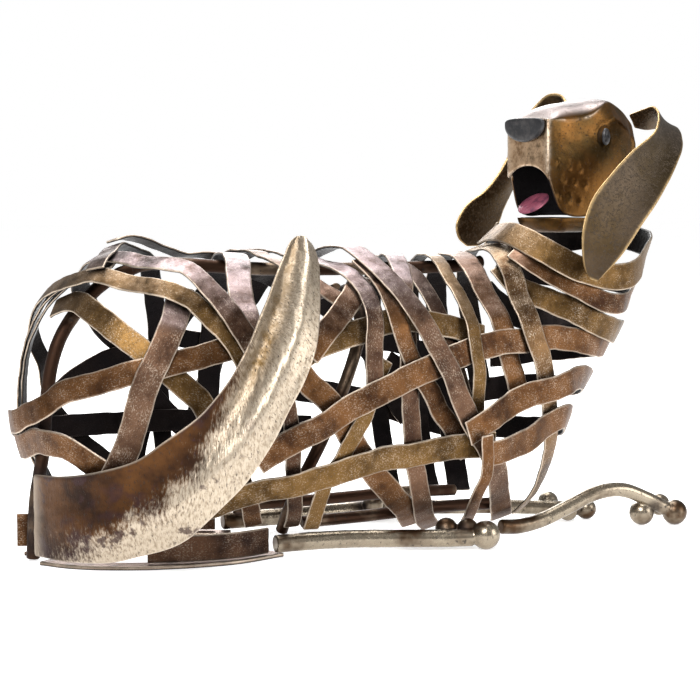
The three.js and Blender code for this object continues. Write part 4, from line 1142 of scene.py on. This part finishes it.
@dataclass
class Head:
    """The head: a folded sheet for cheeks and brow, a muzzle plate, a scoop of a jaw, and two curled ears."""

    frame: HeadFrame = HeadFrame()
    sheet: float = 1.3
    gap: float = 0.4
    crease_drop: float = 7.0
    eye_back: float = 25.8
    eye_height: float = 162.4
    eye_radius: float = 3.1
    jaw_rim: float = 128.9
    jaw_half: float = 14.5
    jaw_length: float = 24.0
    hollow_end: float = 45.0

    def skull_wall(self, rows: Array, inset: float) -> Array:
        """The skull's section at each row: up a cheek, in over the crease, and round the crown's arc, then down the
        other side. Inset draws it in for the inner face.

        Args:
            rows: Back, cheek half width, crease half width, low edge, crease and crown heights.
            inset: How far in.

        Returns:
            Rows by columns by 3, in the head's frame.
        """
        back, half, crease, low, edge, crown = (column[:, None] for column in rows.T)
        half, crease = np.maximum(half - inset, 0.01), np.maximum(crease - inset, 0.01)
        edge, crown = edge - inset, crown - inset
        up = np.linspace(0, 1, 26)[None]
        over = np.linspace(0, 1, 9)[None, 1:]
        arc = np.linspace(0, math.pi, 35)[None, 1:-1]
        drop = edge + inset - self.crease_drop
        cheek_w = np.concatenate([half + 0 * up, half + (crease - half) * over], 1)
        cheek_z = np.concatenate([low + (drop - low) * up, drop + (edge - drop) * over], 1)
        crown_w, crown_z = crease * np.cos(arc), edge + (crown - edge) * np.sin(arc)
        w = np.concatenate([cheek_w, crown_w, -cheek_w[:, ::-1]], 1)
        z = np.concatenate([cheek_z, crown_z, cheek_z[:, ::-1]], 1)
        return np.stack([np.broadcast_to(back, w.shape), w, z], -1)

    def cheek_relief(self, p: Array) -> Array:
        """How far the cheeks stand out: a dent with a raised rim round each eye, nine small bumps for whiskers, and
        shallow hammer waves."""
        back, z = p[..., 0], p[..., 2]
        away = np.hypot((back - self.eye_back) / 3.4, (z - self.eye_height) / 4.6)
        relief = 0.30 * np.exp(-(((away - 1.1) / 0.2) ** 2)) - 1.1 * np.exp(-((away / 0.85) ** 2))
        for row in range(3):
            for column in range(3):
                spot = 4 + 5 * column + (2.5 if row == 1 else 0)
                tall = 151.4 - 6.8 * row - 1.2 * column
                relief += 0.95 * np.exp(-(((back - spot) ** 2 + (z - tall) ** 2) / 1.15**2) ** 2)
        return relief + 0.12 * wander(back + z * 0.4, 2.2, 13) * wander(z, 0.8, 9)

    def skull(self) -> Skin:
        """The folded sheet, its outer and inner faces joined round the rim, and closed at the back."""
        rows = along(SKULL_ROWS.tolist(), 118)
        outer = self.skull_wall(rows, 0)
        flat = np.clip((np.abs(outer[..., 1]) / np.maximum(rows[:, 1:2], 1) - 0.93) / 0.05, 0, 1)
        shy = ease(outer[..., 0], 0,
            2) * (1 - ease(outer[..., 0], 38, 43)) * ease(outer[..., 2] - rows[:, 3:4], 0, 3)
        outer[..., 1] += np.sign(outer[..., 1]) * self.cheek_relief(outer) * flat * shy
        inner = self.skull_wall(rows, self.sheet)
        inner[..., 0] = np.minimum(inner[..., 0], self.hollow_end)
        local = np.concatenate([outer, inner[:, ::-1]], axis=1)
        skin = Skin(self.frame.place(local), np.zeros(0))
        skin.strip = ring_strip(skin.points)
        columns = outer.shape[1]
        # The edge mark: the folds and rims, where the finish paints a highlight.
        crease = np.exp(-(((np.arange(columns) - 34.0) / 1.0) ** 2)) + np.exp(
            -(((np.arange(columns) - (columns - 35.0)) / 1.0) ** 2))
        rim = np.exp(-np.minimum(np.arange(columns), columns - 1 - np.arange(columns)) / 0.8)
        front = np.exp(-rows[:, 0] / 0.7)[:, None]
        edge = np.clip(0.6 * crease + 0.15 * rim + front, 0, 1)
        skin.edge = np.concatenate([edge, edge[:, ::-1] * 0.5], axis=1)
        skin.inside = np.concatenate([np.zeros(edge.shape), np.ones(edge.shape) * (edge[:, ::-1] < 0.6)],
            axis=1)
        return skin

    def muzzle_plate(self) -> Skin:
        """The plate that closes the muzzle: straight sides, a straight top, and a low arch over the mouth."""
        t = np.linspace(0, 1, 9)[:, None]
        left = (1 - t) ** 2 * np.array([-12.5, 145.4]) + 2 * t * (1 - t) * np.array([-7.5,
            150.4]) + t**2 * np.array([0, 150.4])
        arch = np.concatenate([left, left[-2::-1] * np.array([-1, 1])])
        back = np.full((len(arch), 1), -self.sheet - self.gap)
        low = self.frame.place(np.column_stack([back, arch]))
        top = self.frame.place(np.column_stack([back, np.linspace(-12.5, 12.5, len(arch)),
            np.full(len(arch), 169.6)]))
        dent = lambda u, v: -0.25 * np.sin(math.pi * u) * np.sin(math.pi * v) + 0.10 * wander(u * 25, 0.4,
            9) * np.sin(math.pi * v)
        skin = Leaf(low, top, self.sheet, 1, dent, 60, 30).skin()
        skin.edge = np.clip(np.exp(-12 * np.minimum(skin.run, 1 - skin.run)) * 1.0 + skin.edge, 0, 1)
        skin.side = np.ones_like(skin.run)
        return skin

    def nose(self) -> Skin:
        """The nose plate: an outline of a flat top and a round chin, domed towards its middle."""
        angle = np.linspace(0, 2 * math.pi, 64, endpoint=False)
        w = 12.1 * signed_power(np.cos(angle), np.where(np.sin(angle) > 0, 0.55, 1.15))
        z = 167.2 + np.where(np.sin(angle) > 0, 2.8 * signed_power(np.sin(angle), 0.5),
            7.2 * signed_power(np.sin(angle), 0.92))
        levels = np.array([(0.96, -2.1), (1, -2.5), (1, -3.2), (0.95, -3.7), (0.82, -3.88), (0.55, -3.9),
            (0.25, -3.9), (0.02, -3.9)])
        share, back = levels.T[..., None]
        ring = np.stack([back + 0 * w, -0.3 + share * w, 166.2 + share * (z - 166.2)], -1)
        return Skin(self.frame.place(ring), ring_strip(ring))

    def jaw(self) -> Skin:
        """The jaw's scoop: its plan, drawn in level by level down the outside and up again inside, over the rim."""
        levels = smooth(np.array([(4.6, -6, 0.03), (4.6, -6, 0.6), (4.6, -6, 1), (2.2, -4.6, 1),
            (0.6, -2.2, 1), (0.02, -0.2, 1),
                                  (0.3, 0.0, 1), (1.0, 0.0, 1), (1.3, -0.2, 1), (1.9, -0.9, 1),
                                  (3.5, -3.3, 1), (5.5, -4.2, 1),
                                  (5.5, -4.3, 0.6), (5.5, -4.3, 0.03)]), np.linspace(0, 13, 70))
        inset, drop, share = (column[:, None] for column in levels.T)
        angle = np.linspace(math.pi / 2, -math.pi / 2, 41)[None]
        half = self.jaw_half - inset
        arc_back = 11 - (11 - inset) * signed_power(np.cos(angle), 0.8)
        arc_near = half * signed_power(np.sin(angle), 0.8)
        far = self.jaw_length - inset
        run = np.linspace(0, 1, 9)[None, 1:]
        over = np.linspace(0, 1, 15)[None, 1:-1]
        back = np.concatenate([arc_back, 11 + (far - 11) * run, far + 0 * over,
            11 + (far - 11) * run[:, ::-1]], 1)
        near = np.concatenate([arc_near, -half + 0 * run, -half + 2 * half * over, half + 0 * run], 1)
        back, near = 12 + (back - 12) * share, near * share
        local = np.stack([back, near, self.jaw_rim + drop + 0 * near], -1)
        skin = Skin(self.frame.place(local), np.zeros(0))
        skin.strip = ring_strip(skin.points)
        row = np.arange(70)[:, None]
        skin.edge = 0.2 * np.exp(-(((row - 32.0) / 4.0) ** 2)) + 0 * near
        skin.inside = ease(row, 38, 44) + 0 * near
        return skin

    def tongue(self) -> Skin:
        """The tongue: an ellipsoid, tilted up, with a groove down its middle."""
        lump = ball(np.zeros(3), 0.5, 30, 40).points
        groove = 1 - 0.35 * np.exp(-((lump[..., 1] / 0.09) ** 2)) * (lump[..., 2] > 0)
        lump = lump * np.array([14, 15.5, 2.4]) * np.stack([groove * 0 + 1, groove * 0 + 1, groove], -1)
        turn = math.radians(38)
        back = lump[..., 0] * math.cos(turn) - lump[..., 2] * math.sin(turn)
        z = lump[..., 0] * math.sin(turn) + lump[..., 2] * math.cos(turn)
        local = np.stack([back + 4.6, lump[..., 1] - 3, z + 134.8], -1)
        return Skin(self.frame.place(local), ring_strip(local))

    def eye(self, sign: float) -> Skin:
        """An eye: a low oval dome on the cheek."""
        share, rise = smooth(np.array([(0.94, 0), (1, 0.08), (0.94, 0.4), (0.7, 0.8), (0.35, 0.96),
            (0.03, 1)]), np.linspace(0, 5, 18)).T[..., None]
        angle = np.linspace(0, 2 * math.pi, 32, endpoint=False)
        local = np.stack([self.eye_back + 0.72 * share * self.eye_radius * np.cos(angle),
                          sign * (17.65 + 1.6 * rise) + 0 * angle,
                          self.eye_height + 1.15 * share * self.eye_radius * np.sin(angle)], -1)
        return Skin(self.frame.place(local), ring_strip(local))

    def ear(self, inner: Array, outer: Array, outside: float) -> Skin:
        """An ear: a leaf of sheet, dished along its middle and waved a little along its rims.

        Args:
            inner: Its inner edge's rows, in the head's frame.
            outer: Its outer edge's rows.
            outside: The side that the thickness is laid on.

        Returns:
            The closed skin.
        """
        def bow(u: Array, v: Array) -> Array:
            dish = -1.6 * np.sin(math.pi * v) * np.sin(math.pi * u)
            return dish + 0.18 * wander(u * 95, 1.9, 23) * (2 * v - 1) ** 2 * np.sin(math.pi * u)
        return Leaf(self.frame.place(inner), self.frame.place(outer), 1.2, outside, bow, 150, 34).skin()

    def build(self) -> None:
        """Makes every piece of the head."""
        metal, ear = HeadPatina().material(), EarPatina().material()
        black = Enamel("nose_enamel", (0.016, 0.016, 0.018), (0.045, 0.041, 0.041)).material()
        pink = Enamel("tongue_enamel", (0.33, 0.085, 0.13), (0.15, 0.040, 0.075), 0.30).material()
        make_piece("skull_sheet", [self.skull()], ["skull"], metal)
        make_piece("muzzle_sheet", [self.muzzle_plate()], ["muzzle_plate"], metal)
        make_piece("jaw_scoop", [self.jaw()], ["jaw"], metal)
        make_piece("nose_plate", [self.nose()], ["nose"], black)
        make_piece("tongue_plate", [self.tongue()], ["tongue"], pink)
        make_piece("eye_bead_right", [self.eye(-1)], ["eye_right"], black)
        make_piece("eye_bead_left", [self.eye(1)], ["eye_left"], black)
        make_piece("ear_leaf_left", [self.ear(NEAR_EAR_INNER, NEAR_EAR_OUTER, 1)], ["ear_left"], ear)
        make_piece("ear_leaf_right", [self.ear(FAR_EAR_INNER, FAR_EAR_OUTER, -1)], ["ear_right"], ear)
        log.info("head, jaw, tongue, eyes and ears")


# ---- round bars, legs and the base ----

Row3 = tuple[float, float, float]
MIRROR = np.array([1, -1, 1.0])
HIND_LEG = np.array([(86, -30, 5.2), (101, -30, 5.4), (118, -32, 5.4), (136, -36, 5), (151, -40, 4.7),
    (164, -44, 4.8)], float)
HIND_TOES = np.array([(168.5, -45.5, 5.7, 5.7), (156, -35.8, 7.6, 4.4), (163.5, -39.5, 7.6, 4.2)])
FRONT_LEG = np.array([(186, -24, 4.6), (196, -23, 4.2), (207, -22, 6.2), (218, -22, 10.4), (231, -22, 15.4),
                      (243, -22, 16.2), (254, -22, 12.4), (265, -22, 6.8)])
FRONT_TOES = np.array([(269, -22, 5.3, 5.3), (266, -14.5, 7.6, 4.6), (254.5, -19.5, 5.6, 5.2)])
FAR_FRONT_LEG = np.array([(172, 22, 7), (188, 19, 6.6), (204, 16, 6.2), (221, 12, 5.4), (242, 5.5, 4.6)])
FAR_FRONT_TOES = np.array([(242, 5.5, 4.4, 4.4), (229, 15.5, 6.9, 4.4), (232, 3.4, 4.4, 4.2)])


def rod(points: Array, radius: float, count: int, seed: float, rough: float = 0.015) -> Skin:
    """A round bar along a smooth curve, its radius wandering a little.

    Args:
        points: Rows the curve goes through.
        radius: The bar's radius.
        count: Rings along it.
        seed: Which wandering.
        rough: How much the radius wanders, as a share.

    Returns:
        The closed skin.
    """
    path = along(points.tolist(), count)
    side, up = path_frame(path,
        np.array([0.05, 0.1, 1.0]) if np.ptp(points[:, 2]) < 40 else np.array([0.1, 1.0, 0.05]))
    run = np.concatenate([[0], np.cumsum(np.linalg.norm(np.diff(path, axis=0), axis=1))])
    skin = sweep(path, side, up, round_profile(radius * (1 + rough * wander(run, seed, 14)), 24))
    skin.points = eased_ends(skin.points, 0.5)
    skin.strip = ring_strip(skin.points)
    return skin


@dataclass
class RoundBars:
    """The spine bar under the back, the thigh bars and the sill bars, all round bar."""

    form: Form
    spine_radius: float = 2.6
    bar_radius: float = 2.4
    spine_depth: float = -4.6

    def spine(self) -> list[Skin]:
        """The spine bar, down to its foot, where the tail is joined on."""
        back = self.form.off(np.array([4.9, 4.2, 3.4, 2.6, 1.8]), np.zeros(5), self.spine_depth)
        rear = np.array([(50, 0, 112.5), (36, 0, 109.5), (26, 0, 104), (18, 0, 96), (11, 0, 86), (7, 0, 75),
                         (4.6, 0, 60), (3.2, 0, 42), (0, 0, 22), (-1.2, 0, 0.6)])
        return [rod(np.concatenate([back, rear]), self.spine_radius, 260, 5.0, 0.02)]

    def build(self) -> None:
        """Makes the bars."""
        foot = tuple((float(x), float(y), float(z)) for x, y,
            z in ((0, -1, 8), (0.5, -1, 18), (2, -1, 30), (4, 0, 50)))
        bar = RodPatina("round_bar", (0.22, 0.16, 0.11), (0.048, 0.025, 0.016), 0.75, foot, 9.0,
            0.33).material()
        thigh = np.array([(126, -4, 101), (123, -24, 96), (118, -36, 82), (106, -37, 52), (94, -31, 24),
            (91, -24, 9)], float)
        stations = np.array([2.02, 2.5, 3.1, 3.7])
        make_piece("spine_round_bar", self.spine(), ["spine_bar"], bar)
        make_piece("thigh_round_bar_right", [rod(thigh, self.bar_radius, 90, 1.0)], ["thigh_bar_right"],
            bar)
        make_piece("thigh_round_bar_left", [rod(thigh * MIRROR, self.bar_radius, 90, 2.0)],
            ["thigh_bar_left"], bar)
        for name, clock in (("right", 150), ("left", 210)):
            rows = self.form.off(stations, np.full(4, float(clock)), -4)
            make_piece(f"sill_round_bar_{name}", [rod(rows, self.bar_radius, 60, clock / 100)],
                [f"sill_bar_{name}"], bar)
        log.info("round bars")


@dataclass
class Legs:
    """The legs: a bent bar each, with three balls welded on for toes. Bar and balls are fused into one skin."""

    hind_radius: float = 3.5
    front_radius: float = 3.0
    fuse: float = 0.00034

    def leg(self, name: str, points: Array, radius: float, toes: Array, finish: bpy.types.Material,
        seed: float) -> None:
        """Makes one leg.

        Args:
            name: The CAD node it stands for.
            points: Rows the bar goes through.
            radius: The bar's radius.
            toes: Each ball's place and radius.
            finish: Its finish.
            seed: Which wandering.
        """
        skins = [rod(points, radius, 110, seed, 0.012)] + [ball(toe[:3], float(toe[3])) for toe in toes]
        piece = make_piece(f"{name}_steel", skins, [name], finish)
        remesh = piece.modifiers.new("fuse", "REMESH")
        remesh.mode, remesh.voxel_size, remesh.use_smooth_shade = "VOXEL", self.fuse, True
        soften = piece.modifiers.new("soften", "SMOOTH")
        soften.factor, soften.iterations = 0.5, 5
        log.info("leg %s", name)

    def build(self) -> None:
        """Makes the four legs."""
        bare, browned = (0.31, 0.26, 0.195), (0.070, 0.040, 0.022)
        hind = ((161, -41, 7), (152, -37, 6))
        front = ((262, -19, 8), (258, -22, 9))
        far = ((236, 6, 6), (232, 10, 6))
        finish = {key: RodPatina(f"leg_{key}", bare, browned, 0.42, welds, 5.5, 0.22).material()
                  for key, welds in (("hind", hind), ("hind_left", tuple((x, -y, z) for x, y, z in hind)),
                  ("front", front), ("far", far))}
        four = np.array([1, -1, 1, 1.0])
        self.leg("hind_leg_right", HIND_LEG, self.hind_radius, HIND_TOES, finish["hind"], 1.0)
        self.leg("hind_leg_left", HIND_LEG * MIRROR, self.hind_radius, HIND_TOES * four,
            finish["hind_left"], 2.0)
        self.leg("front_leg_right", FRONT_LEG, self.front_radius, FRONT_TOES, finish["front"], 3.0)
        self.leg("front_leg_left", FAR_FRONT_LEG, self.front_radius, FAR_FRONT_TOES, finish["far"], 4.0)


@dataclass
class Base:
    """The base: a flat strap on the floor under each haunch, an upright strap on each, and a tab behind."""

    width: float = 9.0
    thick: float = 1.5
    sill_tall: float = 10.0
    sill_thick: float = 1.0

    def plan_strap(self, plan: Array, wide: float, thick: float, low: float, upright: bool,
        seed: float) -> Skin:
        """A strap along a route in plan, lying flat or standing on its edge.

        Args:
            plan: The route's rows.
            wide: The strap's width.
            thick: Its thickness.
            low: The height of its underside.
            upright: Whether it stands on its edge.
            seed: Which strip pattern.

        Returns:
            The closed skin.
        """
        path = along(plan.tolist(), 80)
        side, _ = path_frame(path, np.array([0, 0, 1.0]))
        tall = np.broadcast_to(np.array([0, 0, 1.0]), path.shape)
        profile = StrapSection(thick, min(0.3, thick / 3), 0.05).profile(np.full(len(path), wide))
        if upright:
            skin = sweep(path + tall * (low + wide / 2) - side * thick / 2, tall, side, profile)
        else:
            skin = sweep(path + tall * low, side, tall, profile)
        skin.points = eased_ends(skin.points, 0.25)
        skin.strip = ring_strip(skin.points) + seed
        skin.edge, skin.inside = StrapSection.edge(), StrapSection.inside() * (0 if upright else 1)
        return skin

    def build(self) -> None:
        """Makes the base."""
        plan = np.array([(2, -9, 0), (13, -23, 0), (36, -33.5, 0), (64, -35, 0), (88, -26, 0)], float)
        sill = np.array([(34, -33, 0), (50, -36.5, 0), (68, -36, 0), (83, -30.5, 0)], float)
        tab = np.array([(-1.6, 3.8, 0), (-3.8, 4.2, 0), (-6, 4.8, 0)], float)
        copper, umber = StrapPatina(Tone.COPPER, 0.40).material(), StrapPatina(Tone.UMBER, 0.42).material()
        for name, turn, seed in (("right", np.ones(3), 51.0), ("left", MIRROR, 53.0)):
            make_piece(f"base_flat_{name}",
                [self.plan_strap(plan * turn, self.width, self.thick, 0, False, seed)],
                       [f"base_strap_{name}"], copper)
            make_piece(f"base_upright_{name}", [self.plan_strap(sill * turn, self.sill_tall, self.sill_thick,
                                                                self.thick + 0.4, True, seed + 1)],
                       [f"base_sill_{name}"], umber)
        make_piece("rear_tab_steel", [self.plan_strap(tab, 12.5, 1.0, 5, True, 57.0)], ["rear_tab"],
            copper)
        log.info("base")


# ---- the studio ----

@dataclass
class Studio:
    """A plain pale floor and surround, soft lights, and the camera."""

    aim: Row3 = (-0.0048, 0.0050, 0.0767)
    azimuth: float = -23.0
    elevation: float = 4.5
    distance: float = 0.85
    lens: float = 109.3

    def light(self, name: str, place: Row3, size: float, watts: float, colour: Colour = (1, 1, 1)) -> None:
        """A square soft light that faces the hound.

        Args:
            name: Its name.
            place: Where it hangs, in metres.
            size: The length of its side.
            watts: Its power.
            colour: Its colour.
        """
        lamp = bpy.data.lights.new(name, "AREA")
        lamp.size, lamp.energy, lamp.color = size, watts, colour
        holder = bpy.data.objects.new(name, lamp)
        holder.location = place
        holder.rotation_euler = (Vector((0, 0, 0.07)) - Vector(place)).to_track_quat("-Z", "Y").to_euler()
        bpy.context.scene.collection.objects.link(holder)

    def floor(self) -> None:
        """The floor: a large pale sheet, faintly mottled."""
        mesh = bpy.data.meshes.new("studio_floor")
        mesh.from_pydata([(-6, -6, 0), (6, -6, 0), (6, 6, 0), (-6, 6, 0)], [], [(0, 1, 2, 3)])
        sheet = bpy.data.objects.new("studio_floor", mesh)
        bpy.context.scene.collection.objects.link(sheet)
        bench = Bench("studio_floor")
        mottle = bench.noise(bench.place(), 60.0, 2.0)
        bench.shader.inputs["Emission Color"].default_value = (1, 1, 1, 1)
        bench.shader.inputs["Emission Strength"].default_value = 0.62
        mesh.materials.append(bench.finish(bench.mix(mottle, (0.86, 0.86, 0.86), (0.90, 0.90, 0.90)), 0.6,
            0.0, None, 0))

    def world(self) -> None:
        """A pale surround, white to the eye and dimmer on the metal."""
        world = bpy.data.worlds.new("studio")
        bpy.context.scene.world = world
        world.use_nodes = True
        tree = world.node_tree
        tree.nodes.clear()
        out = tree.nodes.new("ShaderNodeOutputWorld")
        path = tree.nodes.new("ShaderNodeLightPath")
        seen, felt, pick = (tree.nodes.new(kind) for kind in ("ShaderNodeBackground",
            "ShaderNodeBackground", "ShaderNodeMixShader"))
        seen.inputs["Color"].default_value, seen.inputs["Strength"].default_value = (1, 1, 1, 1), 1.0
        felt.inputs["Color"].default_value, felt.inputs["Strength"].default_value = (1, 1, 1, 1), 0.42
        tree.links.new(path.outputs["Is Camera Ray"], pick.inputs[0])
        tree.links.new(felt.outputs[0], pick.inputs[1])
        tree.links.new(seen.outputs[0], pick.inputs[2])
        tree.links.new(pick.outputs[0], out.inputs["Surface"])

    def camera(self) -> None:
        """The camera, a long lens a little above the floor."""
        turn, rise = math.radians(self.azimuth), math.radians(self.elevation)
        back = Vector((math.sin(turn) * math.cos(rise), -math.cos(turn) * math.cos(rise), math.sin(rise)))
        lens = bpy.data.cameras.new("camera")
        lens.lens, lens.sensor_width, lens.clip_start, lens.clip_end = self.lens, 36, 0.01, 50
        holder = bpy.data.objects.new("camera", lens)
        holder.location = Vector(self.aim) + back * self.distance
        holder.rotation_euler = (-back).to_track_quat("-Z", "Y").to_euler()
        bpy.context.scene.collection.objects.link(holder)
        bpy.context.scene.camera = holder

    def build(self) -> None:
        """Sets up the studio."""
        bpy.context.scene.view_settings.view_transform = "Standard"
        self.camera()
        self.floor()
        self.world()
        self.light("key", (-0.55, -0.75, 0.80), 0.45, 11.0)
        self.light("fill", (0.75, -0.70, 0.35), 0.5, 4.0)
        self.light("top", (0.05, 0.15, 0.95), 0.6, 9.0)
        self.light("back", (0.3, 0.9, 0.5), 0.5, 5.0)
        log.info("studio")


def main() -> None:
    """Builds the hound piece by piece."""
    logging.basicConfig(level=logging.INFO, format="%(name)s: %(message)s")
    form = Form()
    Studio().build()
    WovenBody(form).build()
    Tail().build()
    Head().build()
    RoundBars(form).build()
    Legs().build()
    Base().build()
    bpy.context.view_layer.update()


if __name__ == "__main__":
    main()
